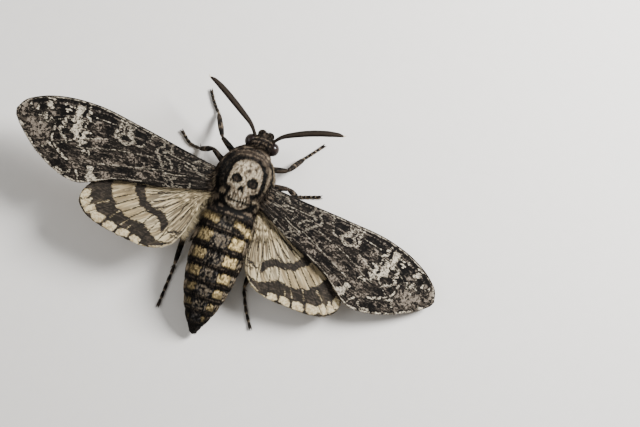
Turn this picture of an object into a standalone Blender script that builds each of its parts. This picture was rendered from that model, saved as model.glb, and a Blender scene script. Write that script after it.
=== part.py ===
"""A death's head hawkmoth at rest with its wings spread, life size.

The moth sits on a flat floor. Its head points to -Y, its left side is +X and
+Z is up. Lengths in the tables below are in millimetres, in the moth's own
frame: x to its left, y towards its tail, z up from the floor.
"""

import math

import bmesh
import bpy
import numpy as np
from mathutils import Matrix, Vector

MM = 0.001
GAP = 0.3
# Moves the middle of the whole animal's box over the origin.
CENTRE_X = 1.25
CENTRE_Y = 11.3

# Thorax and collar, one row for each cross section:
# y, half width, height of the underside, height of the back.
THORAX_ROWS = [
    (-8.3, 3.9, 7.4, 14.4),
    (-7.2, 5.2, 5.8, 15.3),
    (-5.6, 6.6, 4.5, 16.2),
    (-3.1, 8.1, 3.4, 17.0),
    (-0.4, 8.8, 2.9, 17.5),
    (2.4, 8.6, 2.8, 17.6),
    (4.8, 8.0, 3.1, 17.2),
    (6.9, 7.0, 3.6, 16.5),
    (8.8, 6.0, 4.3, 15.4),
]
COLLAR_END = -5.75
THORAX_END = 8.8
SHOULDER_LOBE = 0.75
SHOULDER_ANGLE = 38.0
SHOULDER_SPREAD = 15.0

# Abdomen: y, half width, underside, back.
ABDOMEN_ROWS = [
    (9.1, 6.1, 4.4, 15.4),
    (10.6, 7.0, 3.8, 15.9),
    (16.0, 7.35, 2.8, 15.6),
    (21.5, 7.6, 2.0, 14.9),
    (26.5, 7.1, 1.5, 13.6),
    (32.0, 6.1, 1.1, 11.3),
    (38.0, 4.2, 0.9, 8.0),
    (43.2, 1.6, 0.9, 4.2),
    (45.1, 0.5, 1.3, 2.4),
]
ABDOMEN_SEAMS = [15.1, 20.2, 25.1, 29.7, 34.0, 37.9, 41.3]
SEAM_STEP = 0.32
ABDOMEN_SWAY = 0.25

# Head, built along its own forward line and then turned to its right.
HEAD_ORIGIN = (-1.4, -8.6)
HEAD_TURN = 4.0
# Distance forward, half width, half height, height of the middle.
HEAD_ROWS = [
    (0.0, 3.7, 3.4, 11.2),
    (1.2, 3.9, 3.65, 11.2),
    (2.4, 3.5, 3.4, 11.1),
    (3.3, 2.75, 2.85, 10.9),
    (4.0, 1.8, 2.0, 10.7),
    (4.35, 0.9, 1.05, 10.6),
]
EYE_RADIUS = 1.75
EYE_SIDE = 3.1
EYE_FORWARD = 1.25
EYE_HEIGHT = 11.3
# Palp: distance forward, side, height, radius.
PALP_ROWS = [
    (2.6, 1.1, 8.3, 0.55),
    (3.5, 1.12, 8.35, 0.85),
    (4.3, 1.12, 9.1, 0.95),
    (4.65, 1.12, 10.2, 0.95),
    (4.6, 1.1, 11.3, 0.8),
    (4.4, 1.05, 12.1, 0.45),
]
TONGUE_FORWARD = 2.3
TONGUE_HEIGHT = 7.15
TONGUE_COIL = 1.0
TONGUE_RADIUS = 0.42

# Feelers: points from the root to the hooked tip, and thickness along them.
FEELER_LEFT = [
    (0.75, -11.3, 12.0),
    (2.9, -14.0, 13.0),
    (6.2, -16.3, 13.7),
    (9.4, -18.3, 14.1),
    (12.6, -20.2, 14.2),
    (15.6, -21.7, 14.0),
    (17.5, -22.3, 13.6),
]
FEELER_RIGHT = [
    (-3.75, -11.1, 12.0),
    (-5.9, -13.4, 13.0),
    (-9.1, -15.2, 13.7),
    (-13.0, -16.9, 14.1),
    (-16.6, -18.1, 14.2),
    (-19.8, -18.9, 14.0),
    (-21.7, -19.2, 13.6),
]
FEELER_RADII = [0.42, 0.52, 0.72, 0.8, 0.8, 0.62, 0.27]

# Legs: hip, knee, ankle, then the foot's bend and its end, and radii.
LEGS = {
    "leg_fore_l": [(3.4, -4.4, 5.6), (9.7, -8.5, 5.4), (13.3, -14.5, 0.9), (15.2, -16.6, 0.42),
                   (17.2, -19.6, 0.4)],
    "leg_fore_r": [(-3.4, -4.0, 5.6), (-10.0, -5.7, 5.4), (-12.9, -10.4, 0.9), (-15.0, -13.1, 0.42),
                   (-16.8, -15.5, 0.4)],
    "leg_mid_l": [(4.4, -0.6, 5.2), (11.0, -4.8, 6.0), (14.7, -3.7, 0.9), (18.0, -4.2, 0.42),
                  (21.0, -6.5, 0.4)],
    "leg_mid_r": [(-4.4, 0.4, 5.2), (-11.8, -1.2, 6.0), (-14.6, 0.0, 0.9), (-17.4, -1.0, 0.42),
                  (-20.5, -2.1, 0.4)],
    "leg_hind_l": [(4.5, 4.8, 5.0), (10.6, 14.6, 5.8), (10.9, 28.6, 0.9), (11.2, 34.2, 0.42),
                   (11.5, 40.6, 0.4)],
    "leg_hind_r": [(-4.5, 4.8, 5.0), (-9.9, 13.8, 5.8), (-9.2, 28.4, 0.9), (-11.4, 33.4, 0.42),
                   (-14.4, 38.1, 0.4)],
}
FEMUR_RADIUS = 0.86
KNEE_RADIUS = 0.62
TIBIA_RADIUS = 0.78
ANKLE_RADIUS = 0.46
TOE_JOINTS = 5
TOE_HEIGHT = 0.36
# Along each toe joint: share of its length and radius. Its wide part lies flat on the floor.
TOE_RINGS = [(0.12, 0.32), (0.4, 0.43), (0.9, 0.47)]
CLAW_LENGTH = 0.95
SPUR_LENGTH = 1.9

# Wing outlines seen square on: distance out from the hinge, distance forward.
FORE_LEADING = [(-3.0, 1.5), (9.0, 2.6), (23.0, 4.1), (36.0, 4.9), (44.2, 3.7), (50.2, 1.4),
                (53.6, -1.1), (54.9, -3.8)]
FORE_OUTER = [(54.9, -3.8), (53.2, -6.4), (50.0, -9.4), (45.3, -12.7), (40.2, -15.0),
              (36.9, -15.9), (34.2, -16.1)]
FORE_TRAILING = [(-3.0, -3.6), (4.2, -5.9), (12.0, -8.5), (20.0, -10.4), (25.6, -12.1),
                 (30.0, -14.5), (32.1, -15.6), (34.2, -16.1)]
HIND_LEADING = [(-2.0, 0.6), (9.0, 1.1), (19.0, -0.6), (26.8, -4.6), (31.3, -10.0)]
HIND_OUTER = [(31.3, -10.0), (33.1, -13.6), (33.1, -15.9), (31.2, -18.2), (27.0, -20.1),
              (21.8, -21.0), (17.6, -21.6), (14.2, -21.9)]
HIND_TRAILING = [(-2.0, -2.4), (1.9, -5.0), (3.0, -9.0), (3.7, -12.6), (4.9, -16.2),
                 (6.9, -19.1), (10.2, -21.1), (14.2, -21.9)]
FORE_HINGE = (7.0, 1.5, 13.0)
HIND_HINGE = (6.0, 4.0, 11.5)
# For each side: lift of the wing plane, and turn forward of each wing, in degrees.
LIFT = {"l": 3.5, "r": -9.6}
FORE_TURN = {"l": 3.0, "r": -10.0}
HIND_TURN = {"l": 0.0, "r": -11.0}
WING_ARCH = 0.0004
FORE_CAMBER = 0.42
HIND_CAMBER = 0.16
MEMBRANE = 0.26
VEIN_RISE = 0.17
# Half a vein's width, as a share of the way across the wing.
VEIN_FOOT = 0.03
# Where the main veins run, as shares of the way from leading to trailing edge.
FORE_VEINS = [0.07, 0.2, 0.33, 0.46, 0.59, 0.73, 0.88]
HIND_VEINS = [0.12, 0.3, 0.46, 0.62, 0.78]
FORE_ROWS = 19
HIND_ROWS = 14

TRUNK_SIDES = 28
LEG_SIDES = 8
HEAD_SIDES = 24

COLOURS = {
    "thorax": (0.07, 0.05, 0.035),
    "collar": (0.09, 0.065, 0.045),
    "head": (0.06, 0.042, 0.03),
    "abdomen": (0.42, 0.29, 0.12),
    "eye": (0.012, 0.008, 0.006),
    "palp": (0.08, 0.055, 0.035),
    "proboscis": (0.1, 0.06, 0.03),
    "antenna": (0.03, 0.022, 0.018),
    "forewing": (0.09, 0.065, 0.045),
    "hindwing": (0.52, 0.37, 0.16),
    "leg": (0.06, 0.045, 0.03),
}


def clear_scene() -> None:
    """Remove every object of the opened file."""
    for old in list(bpy.data.objects):
        bpy.data.objects.remove(old, do_unlink=True)


def curve(points: list, count: int) -> np.ndarray:
    """Points evenly spaced along a smooth curve through the given points.

    Args:
        points: the points that the curve passes through.
        count: how many points to return, the ends included.

    Returns:
        An array with one row for each point.
    """
    knots = np.array(points, float)
    steps = np.linalg.norm(np.diff(knots, axis=0), axis=1)
    place = np.concatenate([[0.0], np.cumsum(steps)])
    slopes = np.gradient(knots, place, axis=0)
    where = np.linspace(0.0, place[-1], count)
    out = []
    for value in where:
        i = min(int(np.searchsorted(place, value, side="right")) - 1, len(steps) - 1)
        span = steps[i]
        f = (value - place[i]) / span
        h00 = 2 * f**3 - 3 * f**2 + 1
        h10 = f**3 - 2 * f**2 + f
        h01 = -2 * f**3 + 3 * f**2
        h11 = f**3 - f**2
        point = h00 * knots[i] + h10 * span * slopes[i]
        out.append(point + h01 * knots[i + 1] + h11 * span * slopes[i + 1])
    return np.array(out)


def table(rows: list, y: float) -> np.ndarray:
    """Read a table of cross sections at one y, with smooth steps between rows."""
    knots = np.array(rows, float)
    place = knots[:, 0]
    slopes = np.gradient(knots, place, axis=0)
    value = min(max(y, place[0]), place[-1])
    i = min(int(np.searchsorted(place, value, side="right")) - 1, len(place) - 2)
    span = place[i + 1] - place[i]
    f = (value - place[i]) / span
    h01 = 3 * f**2 - 2 * f**3
    h10 = f**3 - 2 * f**2 + f
    h11 = f**3 - f**2
    return (1 - h01) * knots[i] + h01 * knots[i + 1] + span * (h10 * slopes[i] + h11 * slopes[i + 1])


def solid_mesh(name: str, points: list, faces: list) -> bpy.types.Object:
    """Make a closed mesh object from points in millimetres and face lists."""
    build = bmesh.new()
    verts = []
    for x, y, z in points:
        place = Vector(((x - CENTRE_X) * MM, (y - CENTRE_Y) * MM, z * MM))
        verts.append(build.verts.new(place))
    for face in faces:
        build.faces.new([verts[i] for i in face])
    bmesh.ops.recalc_face_normals(build, faces=build.faces[:])
    if build.calc_volume(signed=True) < 0:
        bmesh.ops.reverse_faces(build, faces=build.faces[:])
    bmesh.ops.triangulate(build, faces=build.faces[:])
    mesh = bpy.data.meshes.new(name)
    build.to_mesh(mesh)
    build.free()
    thing = bpy.data.objects.new(name, mesh)
    bpy.context.scene.collection.objects.link(thing)
    return thing


def loft(name: str, rings: list) -> bpy.types.Object:
    """Skin a row of rings of equal length and close both ends with a fan."""
    sides = len(rings[0])
    points = [tuple(p) for ring in rings for p in ring]
    faces = []
    for r in range(len(rings) - 1):
        low = r * sides
        high = low + sides
        for s in range(sides):
            n = (s + 1) % sides
            faces.append((low + s, low + n, high + n))
            faces.append((low + s, high + n, high + s))
    for ring, start in ((rings[0], 0), (rings[-1], (len(rings) - 1) * sides)):
        hub = len(points)
        points.append(tuple(np.mean(np.array(ring), axis=0)))
        for s in range(sides):
            faces.append((start + s, start + (s + 1) % sides, hub))
    return solid_mesh(name, points, faces)


def tube(name: str, path: list, radii: list, sides: int, flat: float = 1.0,
         level: bool = False) -> bpy.types.Object:
    """Sweep a round section along a path, kept above the floor.

    Args:
        name: the object's name.
        path: points of the middle line.
        radii: one radius for each point.
        sides: how many corners the section has.
        flat: the section's height over its width.
        level: keeps each section upright, so that its underside lies flat.
    """
    line = np.array(path, float)
    ahead = np.zeros_like(line)
    ahead[:-1] += np.diff(line, axis=0) / np.linalg.norm(np.diff(line, axis=0), axis=1)[:, None]
    ahead[1:] += np.diff(line, axis=0) / np.linalg.norm(np.diff(line, axis=0), axis=1)[:, None]
    rings = []
    side = None
    for point, way, radius in zip(line, ahead, radii):
        way = way / np.linalg.norm(way)
        if level or side is None:
            side = np.cross(way, (0.0, 0.0, 1.0))
        side = side - np.dot(side, way) * way
        side = side / np.linalg.norm(side)
        up = np.cross(side, way)
        ring = []
        for s in range(sides):
            turn = 2 * math.pi * (s + 0.5) / sides
            corner = point + radius * (math.cos(turn) * side + flat * math.sin(turn) * up)
            ring.append((corner[0], corner[1], max(corner[2], 0.0)))
        rings.append(ring)
    return loft(name, rings)


def is_closed(mesh: bpy.types.Mesh) -> bool:
    """True where every edge of the mesh joins exactly two faces."""
    build = bmesh.new()
    build.from_mesh(mesh)
    closed = all(len(edge.link_faces) == 2 for edge in build.edges)
    build.free()
    return closed


def apply_boolean(thing: bpy.types.Object, operation: str, cutters: list) -> None:
    """Join or cut with closed objects, then remove them and keep the largest piece.

    The exact solver comes first. Where its result has a crack, the manifold one is used.
    """
    group = bpy.data.collections.new("operands")
    for cutter in cutters:
        group.objects.link(cutter)
    step = thing.modifiers.new("boolean", "BOOLEAN")
    step.operation = operation
    step.operand_type = "COLLECTION"
    step.collection = group
    for solver in ("EXACT", "MANIFOLD"):
        step.solver = solver
        depsgraph = bpy.context.evaluated_depsgraph_get()
        result = bpy.data.meshes.new_from_object(thing.evaluated_get(depsgraph))
        if is_closed(result):
            break
    thing.modifiers.clear()
    thing.data = result
    for cutter in cutters:
        bpy.data.objects.remove(cutter, do_unlink=True)
    bpy.data.collections.remove(group)
    keep_largest(thing)


def keep_largest(thing: bpy.types.Object) -> None:
    """Keep only the closed surface that holds the most volume."""
    build = bmesh.new()
    build.from_mesh(thing.data)
    unseen = set(build.faces)
    groups = []
    while unseen:
        stack = [unseen.pop()]
        group = []
        while stack:
            face = stack.pop()
            group.append(face)
            for edge in face.edges:
                for other in edge.link_faces:
                    if other in unseen:
                        unseen.remove(other)
                        stack.append(other)
        groups.append(group)
    groups.sort(key=shell_volume)
    for group in groups[:-1]:
        bmesh.ops.delete(build, geom=group, context="FACES")
    loose = [vert for vert in build.verts if not vert.link_faces]
    bmesh.ops.delete(build, geom=loose, context="VERTS")
    build.to_mesh(thing.data)
    build.free()


def shell_volume(faces: list) -> float:
    """Volume inside a list of connected faces."""
    total = 0.0
    for face in faces:
        corners = [loop.vert.co for loop in face.loops]
        for i in range(1, len(corners) - 1):
            total += corners[0].dot(corners[i].cross(corners[i + 1])) / 6.0
    return abs(total)


def finish(thing: bpy.types.Object, look: str, gloss: float = 0.7) -> bpy.types.Object:
    """Give a node its own material and smooth shading."""
    material = bpy.data.materials.new(thing.name)
    material.use_nodes = True
    shader = material.node_tree.nodes["Principled BSDF"]
    shader.inputs["Base Color"].default_value = (*COLOURS[look], 1.0)
    shader.inputs["Roughness"].default_value = gloss
    shader.inputs["Metallic"].default_value = 0.0
    thing.data.materials.clear()
    thing.data.materials.append(material)
    thing.data.shade_smooth()
    thing.data.set_sharp_from_angle(angle=math.radians(40.0))
    return thing


def trunk_ring(rows: list, y: float, grow: float, sway: float = 0.0, step: float = 0.0) -> list:
    """One cross section of the thorax or abdomen.

    Args:
        rows: the table of cross sections.
        y: where along the body the section lies.
        grow: how far it stands outside the real surface.
        sway: how far its middle is moved to the moth's left.
        step: how far it is drawn in, as at a seam.
    """
    _, half, under, back = table(rows, y)
    half = half + grow - step
    tall = (back - under) / 2 + grow - step
    middle = (back + under) / 2
    ring = []
    for s in range(TRUNK_SIDES):
        turn = 2 * math.pi * s / TRUNK_SIDES
        swell = 0.0
        if rows is THORAX_ROWS:
            swell = shoulder(math.degrees(turn), y)
        across = math.copysign(abs(math.cos(turn)) ** 0.94, math.cos(turn))
        above = math.copysign(abs(math.sin(turn)) ** 0.94, math.sin(turn))
        ring.append((sway + (half + swell) * across, y, middle + (tall + swell) * above))
    return ring


def shoulder(angle: float, y: float) -> float:
    """Swelling of the scale flap that covers each forewing's root."""
    off = min(abs(angle - SHOULDER_ANGLE), abs(angle - (180.0 - SHOULDER_ANGLE)))
    along = max(0.0, 1.0 - ((y + 0.6) / 5.2) ** 2)
    return SHOULDER_LOBE * along * math.exp(-((off / SHOULDER_SPREAD) ** 2))


def thorax_solid(name: str, start: float, end: float, grow: float) -> bpy.types.Object:
    """The thorax or its collar between two flat cuts."""
    inside = [row[0] for row in THORAX_ROWS if start + 0.5 < row[0] < end - 0.5]
    stops = sorted({start, end, *inside, *[(a + b) / 2 for a, b in zip(inside, inside[1:])]})
    return loft(name, [trunk_ring(THORAX_ROWS, y, grow) for y in stops])


def abdomen_solid(name: str, grow: float) -> bpy.types.Object:
    """The abdomen, whose rings step in where each one ends."""
    first = ABDOMEN_ROWS[0][0]
    last = ABDOMEN_ROWS[-1][0]
    edges = [first, *ABDOMEN_SEAMS, last]
    rings = []
    for number, (front, rear) in enumerate(zip(edges, edges[1:])):
        length = rear - front
        stops = [0.06, 0.3, 0.62, 0.94]
        for share in stops:
            y = front + share * length
            rise = 0.5 * math.sin(math.pi * share)
            step = SEAM_STEP * (1.0 - share - rise) if number else 0.0
            sway = ABDOMEN_SWAY * math.sin(math.pi * (y - first) / (last - first))
            rings.append(trunk_ring(ABDOMEN_ROWS, y, grow, sway, max(step, 0.0)))
    rings[0] = trunk_ring(ABDOMEN_ROWS, first - grow, grow)
    rings.append(trunk_ring(ABDOMEN_ROWS, last, grow))
    return loft(name, rings)


def head_place(forward: float, side: float, height: float) -> tuple:
    """Turn head measures (forward, to its left, up) into the moth's frame."""
    turn = math.radians(HEAD_TURN)
    x = HEAD_ORIGIN[0] - forward * math.sin(turn) + side * math.cos(turn)
    y = HEAD_ORIGIN[1] - forward * math.cos(turn) - side * math.sin(turn)
    return (x, y, height)


def head_solid(name: str, grow: float) -> bpy.types.Object:
    """The head without its eyes and mouthparts."""
    rings = []
    for forward, half, tall, middle in HEAD_ROWS:
        ring = []
        for s in range(HEAD_SIDES):
            turn = 2 * math.pi * s / HEAD_SIDES
            side = (half + grow) * math.cos(turn)
            rise = (tall + grow) * math.sin(turn)
            x, y, z = head_place(forward, side, middle + rise)
            ring.append((x, min(y, HEAD_ORIGIN[1]), z))
        rings.append(ring)
    if grow:
        forward, half, tall, middle = HEAD_ROWS[-1]
        nose = []
        for s in range(HEAD_SIDES):
            turn = 2 * math.pi * s / HEAD_SIDES
            nose.append(head_place(forward + grow, 0.7 * half * math.cos(turn),
                                   middle + 0.7 * tall * math.sin(turn)))
        rings.append(nose)
    return loft(name, rings)


def ball(name: str, centre: tuple, radius: float, rows: int, sides: int) -> bpy.types.Object:
    """A sphere of rows and sides, its poles up and down."""
    rings = []
    for r in range(1, rows):
        tilt = math.pi * r / rows - math.pi / 2
        ring = []
        for s in range(sides):
            turn = 2 * math.pi * s / sides
            ring.append((centre[0] + radius * math.cos(tilt) * math.cos(turn),
                         centre[1] + radius * math.cos(tilt) * math.sin(turn),
                         centre[2] + radius * math.sin(tilt)))
        rings.append(ring)
    points = [p for ring in rings for p in ring]
    faces = []
    for r in range(len(rings) - 1):
        for s in range(sides):
            n = (s + 1) % sides
            low = r * sides
            high = low + sides
            faces.append((low + s, low + n, high + n))
            faces.append((low + s, high + n, high + s))
    for ring_start, height in ((0, -radius), ((len(rings) - 1) * sides, radius)):
        hub = len(points)
        points.append((centre[0], centre[1], centre[2] + height))
        for s in range(sides):
            faces.append((ring_start + s, ring_start + (s + 1) % sides, hub))
    return solid_mesh(name, points, faces)


def eye_centre(side: str) -> tuple:
    """Middle of one eye."""
    sign = 1.0 if side == "l" else -1.0
    return head_place(EYE_FORWARD, sign * EYE_SIDE, EYE_HEIGHT)


def make_eye(side: str) -> bpy.types.Object:
    """One eye, a ball in a socket of the head."""
    return ball("eye_" + side, eye_centre(side), EYE_RADIUS, 12, 20)


def make_palp(side: str) -> bpy.types.Object:
    """One of the two scaled palps that curve up in front of the face."""
    sign = 1.0 if side == "l" else -1.0
    path = [head_place(f, sign * s, z) for f, s, z, _ in PALP_ROWS]
    radii = [row[3] for row in PALP_ROWS]
    return tube("palp_" + side, path, radii, 12)


def make_tongue() -> bpy.types.Object:
    """The short tongue, coiled under the head, as one closed ring of its outer shape."""
    turns = 18
    sides = 8
    points = []
    faces = []
    for t in range(turns):
        around = 2 * math.pi * t / turns
        for s in range(sides):
            turn = 2 * math.pi * s / sides
            reach = TONGUE_COIL + TONGUE_RADIUS * math.cos(turn)
            points.append(head_place(TONGUE_FORWARD + reach * math.cos(around),
                                     TONGUE_RADIUS * math.sin(turn),
                                     TONGUE_HEIGHT + reach * math.sin(around)))
            low = t * sides
            high = ((t + 1) % turns) * sides
            n = (s + 1) % sides
            faces.append((low + s, low + n, high + n))
            faces.append((low + s, high + n, high + s))
    return solid_mesh("proboscis", points, faces)


def make_feeler(side: str) -> bpy.types.Object:
    """One feeler, thickest past its middle and drawn out to a fine hook."""
    knots = FEELER_LEFT if side == "l" else FEELER_RIGHT
    count = 19
    path = curve(knots, count)
    place = np.linspace(0.0, 1.0, count)
    radii = np.interp(place, np.linspace(0.0, 1.0, len(FEELER_RADII)), FEELER_RADII)
    return tube("antenna_" + side, path, radii, 10, 0.8)


def leg_line(knots: list) -> tuple:
    """Middle line and radii of one leg from its hip to its last toe joint."""
    hip, knee, ankle, bend, end = [np.array(k, float) for k in knots]
    path = []
    radii = []
    for share, radius in ((0.0, 0.95), (0.5, 1.0), (0.86, 0.86)):
        path.append(hip + share * (knee - hip))
        radii.append(radius * FEMUR_RADIUS)
    path.append(knee)
    radii.append(KNEE_RADIUS)
    for share, radius in ((0.14, 0.95), (0.45, 1.0), (0.8, 0.85)):
        path.append(knee + share * (ankle - knee))
        radii.append(radius * TIBIA_RADIUS)
    path.append(ankle)
    radii.append(ANKLE_RADIUS)
    foot = curve([ankle, bend, end], 20 * TOE_JOINTS + 1)
    for joint in range(TOE_JOINTS):
        rings = TOE_RINGS if joint else TOE_RINGS[1:]
        for share, radius in rings:
            point = foot[int(round(20 * (joint + share)))]
            height = max(TOE_HEIGHT, ankle[2] * (1.0 - 1.6 * (joint + share)))
            path.append((point[0], point[1], height))
            radii.append(radius)
    return path, radii


def cone(name: str, root: np.ndarray, tip: np.ndarray, thick: float, point: float) -> bpy.types.Object:
    """A slim closed cone for a claw or a spur."""
    middle = root + 0.55 * (tip - root)
    return tube(name, [root, middle, tip], [thick, 0.75 * thick, point], 6)


def make_leg(name: str) -> bpy.types.Object:
    """One leg: thigh, shin with two spurs, five toe joints and a pair of claws."""
    path, radii = leg_line(LEGS[name])
    leg = tube(name, path, radii, LEG_SIDES, level=True)
    end = np.array(path[-1])
    way = end - np.array(path[-2])
    way[2] = 0.0
    way = way / np.linalg.norm(way)
    across = np.array((-way[1], way[0], 0.0))
    extras = []
    for sign in (-1.0, 1.0):
        tip = end + CLAW_LENGTH * (0.86 * way + 0.5 * sign * across)
        tip[2] = 0.2
        extras.append(cone("claw", end - 0.25 * way, tip, 0.27, 0.14))
    if "fore" not in name:
        ankle = np.array(LEGS[name][2], float)
        for sign in (-1.0, 1.0):
            tip = ankle + SPUR_LENGTH * (0.8 * way + 0.45 * sign * across)
            tip[2] = 0.35
            extras.append(cone("spur", ankle - 0.2 * way, tip, 0.3, 0.16))
    apply_boolean(leg, "UNION", extras)
    return leg


def wing_place(side: str, hinge: tuple, turn: float, u: float, v: float, w: float) -> tuple:
    """Turn wing measures (out, forward, up off the wing) into the moth's frame."""
    sign = 1.0 if side == "l" else -1.0
    lift = math.radians(LIFT[side])
    swing = math.radians(turn)
    out = u * math.cos(lift) - w * math.sin(lift)
    high = u * math.sin(lift) + w * math.cos(lift)
    x = hinge[0] + out * math.cos(swing) - v * math.sin(swing)
    y = hinge[1] - out * math.sin(swing) - v * math.cos(swing)
    return (sign * x, y, hinge[2] + high)


def wing_columns(veins: list) -> list:
    """Shares from leading to trailing edge, three at each vein.

    Returns:
        Pairs of share and ridge, where ridge is 1 on a vein's crest and 0 off it.
    """
    columns = [(0.0, 0.35)]
    for vein in veins:
        columns += [(vein - VEIN_FOOT, 0.0), (vein, 1.0), (vein + VEIN_FOOT, 0.0)]
    columns.append((1.0, 0.0))
    return columns


def make_wing(name: str, side: str, hinge: tuple, turn: float, edges: tuple, veins: list,
              rows: int, camber: float) -> bpy.types.Object:
    """A wing as a thin closed plate with raised veins.

    Both faces share one grid, whose lines run from the root to the outer
    margin and from the leading to the trailing edge.

    Args:
        name: the object's name.
        side: "l" or "r".
        hinge: where the wing's own frame sits.
        turn: degrees that the wing is swung forward.
        edges: leading, outer and trailing edge as lists of points.
        veins: places of the veins across the wing.
        rows: how many grid rows lie between root and margin.
        camber: how far the wing's middle bulges up.
    """
    leading, outer, trailing = edges
    columns = wing_columns(veins)
    front = curve(leading, rows)
    back = curve(trailing, rows)
    fine = curve(outer, 101)
    top = []
    bottom = []
    for r in range(rows):
        s = r / (rows - 1)
        for t, ridge in columns:
            root = (1 - t) * np.array(leading[0]) + t * np.array(trailing[0])
            margin = fine[int(round(100 * t))] if 0 < t < 1 else fine[int(100 * t)]
            flat = (1 - t) * front[r] + t * back[r] + (1 - s) * root + s * margin
            corner = (1 - s) * (1 - t) * np.array(leading[0]) + (1 - s) * t * np.array(trailing[0])
            corner = corner + s * (1 - t) * np.array(leading[-1]) + s * t * np.array(trailing[-1])
            u, v = flat - corner
            bulge = camber * math.sin(math.pi * t) * math.sin(math.pi * min(1.0, 0.15 + 0.85 * s))
            w = bulge - WING_ARCH * max(u, 0.0) ** 2
            half = MEMBRANE + VEIN_RISE * ridge * (1.0 - 0.55 * s) + 0.2 * max(0.0, 0.2 - s)
            top.append(wing_place(side, hinge, turn, u, v, w + half))
            bottom.append(wing_place(side, hinge, turn, u, v, w - half))
    wide = len(columns)
    count = rows * wide
    faces = []
    for r in range(rows - 1):
        for c in range(wide - 1):
            a = r * wide + c
            b = a + 1
            d = a + wide
            e = d + 1
            for lower in (0, count):
                faces.append((a + lower, b + lower, e + lower))
                faces.append((a + lower, e + lower, d + lower))
    rim = [c for c in range(wide)]
    rim += [r * wide + wide - 1 for r in range(1, rows)]
    rim += [(rows - 1) * wide + c for c in range(wide - 2, -1, -1)]
    rim += [r * wide for r in range(rows - 2, 0, -1)]
    for i, low in enumerate(rim):
        high = rim[(i + 1) % len(rim)]
        faces.append((low, high, high + count))
        faces.append((low, high + count, low + count))
    return solid_mesh(name, top + bottom, faces)


def trunk_cutters() -> list:
    """Copies of the trunk that stand out by the gap, to trim what grows from it."""
    return [
        thorax_solid("cut_thorax", THORAX_ROWS[0][0] - GAP, THORAX_END + GAP, GAP),
        head_solid("cut_head", GAP),
        abdomen_solid("cut_abdomen", GAP),
    ]


def trim(thing: bpy.types.Object, cutters: list) -> bpy.types.Object:
    """Cut a node clear of what it grows from."""
    apply_boolean(thing, "DIFFERENCE", cutters)
    return thing


def build_trunk() -> None:
    """Thorax, collar, head, eyes and abdomen."""
    finish(thorax_solid("thorax", COLLAR_END, THORAX_END, 0.0), "thorax")
    collar = thorax_solid("collar", THORAX_ROWS[0][0], COLLAR_END - GAP, 0.0)
    head = head_solid("head", 0.0)
    for node in (collar, head):
        sockets = [ball("socket", eye_centre(side), EYE_RADIUS + GAP, 12, 20) for side in "lr"]
        trim(node, sockets)
    finish(collar, "collar")
    finish(head, "head")
    finish(abdomen_solid("abdomen", 0.0), "abdomen")
    for side in "lr":
        finish(make_eye(side), "eye", 0.15)


def build_mouth_and_feelers() -> None:
    """Palps, tongue and feelers, cut clear of the head and eyes."""
    finish(trim(make_tongue(), [head_solid("cut_head", GAP)]), "proboscis")
    for side in "lr":
        finish(trim(make_palp(side), [head_solid("cut_head", GAP)]), "palp")
        eye = ball("cut_eye", eye_centre(side), EYE_RADIUS + GAP, 12, 20)
        finish(trim(make_feeler(side), [head_solid("cut_head", GAP), eye]), "antenna")


def build_wings() -> None:
    """Two pairs of wings, each cut clear of the thorax at its root."""
    for side in "lr":
        fore = make_wing("forewing_" + side, side, FORE_HINGE, FORE_TURN[side],
                         (FORE_LEADING, FORE_OUTER, FORE_TRAILING), FORE_VEINS, FORE_ROWS, FORE_CAMBER)
        finish(trim(fore, trunk_cutters()), "forewing")
        hind = make_wing("hindwing_" + side, side, HIND_HINGE, HIND_TURN[side],
                         (HIND_LEADING, HIND_OUTER, HIND_TRAILING), HIND_VEINS, HIND_ROWS, HIND_CAMBER)
        finish(trim(hind, trunk_cutters()), "hindwing")


def build_legs() -> None:
    """Six legs that stand on the floor on the flats of their feet."""
    for name in LEGS:
        finish(trim(make_leg(name), trunk_cutters()), "leg")


def main() -> None:
    """Build every node of the moth."""
    clear_scene()
    build_trunk()
    build_mouth_and_feelers()
    build_wings()
    build_legs()


main()
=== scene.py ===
"""Looks of a death's head hawkmoth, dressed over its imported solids.

Lengths are in millimetres in the moth's own frame: x to its left, y towards
its tail, z up from the floor. Each mesh is moved to the frame's metres when
it is made.
"""

import logging
import math
from collections.abc import Callable
from dataclasses import dataclass
from enum import Enum

import bmesh
import bpy
import numpy as np
from bpy.types import ID, Material, Mesh, Node, NodeSocket, NodeTree, Object
from mathutils import Matrix, Vector


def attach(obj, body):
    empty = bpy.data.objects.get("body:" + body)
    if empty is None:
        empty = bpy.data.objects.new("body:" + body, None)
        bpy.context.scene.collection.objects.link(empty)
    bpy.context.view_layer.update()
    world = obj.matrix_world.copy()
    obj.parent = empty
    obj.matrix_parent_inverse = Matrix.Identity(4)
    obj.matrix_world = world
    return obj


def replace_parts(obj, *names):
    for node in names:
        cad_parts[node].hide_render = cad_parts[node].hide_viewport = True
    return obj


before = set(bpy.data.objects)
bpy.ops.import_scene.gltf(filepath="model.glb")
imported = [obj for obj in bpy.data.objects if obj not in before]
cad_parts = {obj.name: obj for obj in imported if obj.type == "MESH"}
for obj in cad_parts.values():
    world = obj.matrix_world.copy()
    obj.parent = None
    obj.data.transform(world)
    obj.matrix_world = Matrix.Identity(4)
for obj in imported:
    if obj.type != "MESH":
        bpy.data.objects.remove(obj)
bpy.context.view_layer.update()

LOG = logging.getLogger("moth")
BODY = "root"
MM = 0.001
# The middle of the whole animal's box lies over the frame's origin.
CENTRE = np.array((1.25, 11.3, 0.0))
SEED = 20
# Size of one tuft's patch on the baking map.
PATCH = 0.003
# The name of the baking map.
BAKE_MAP = "OFBake"
# The distance that a place is given where no marking is near.
FAR = 50.0
# How near the floor the feet come, in millimetres.
LOWEST = 0.02


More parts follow.
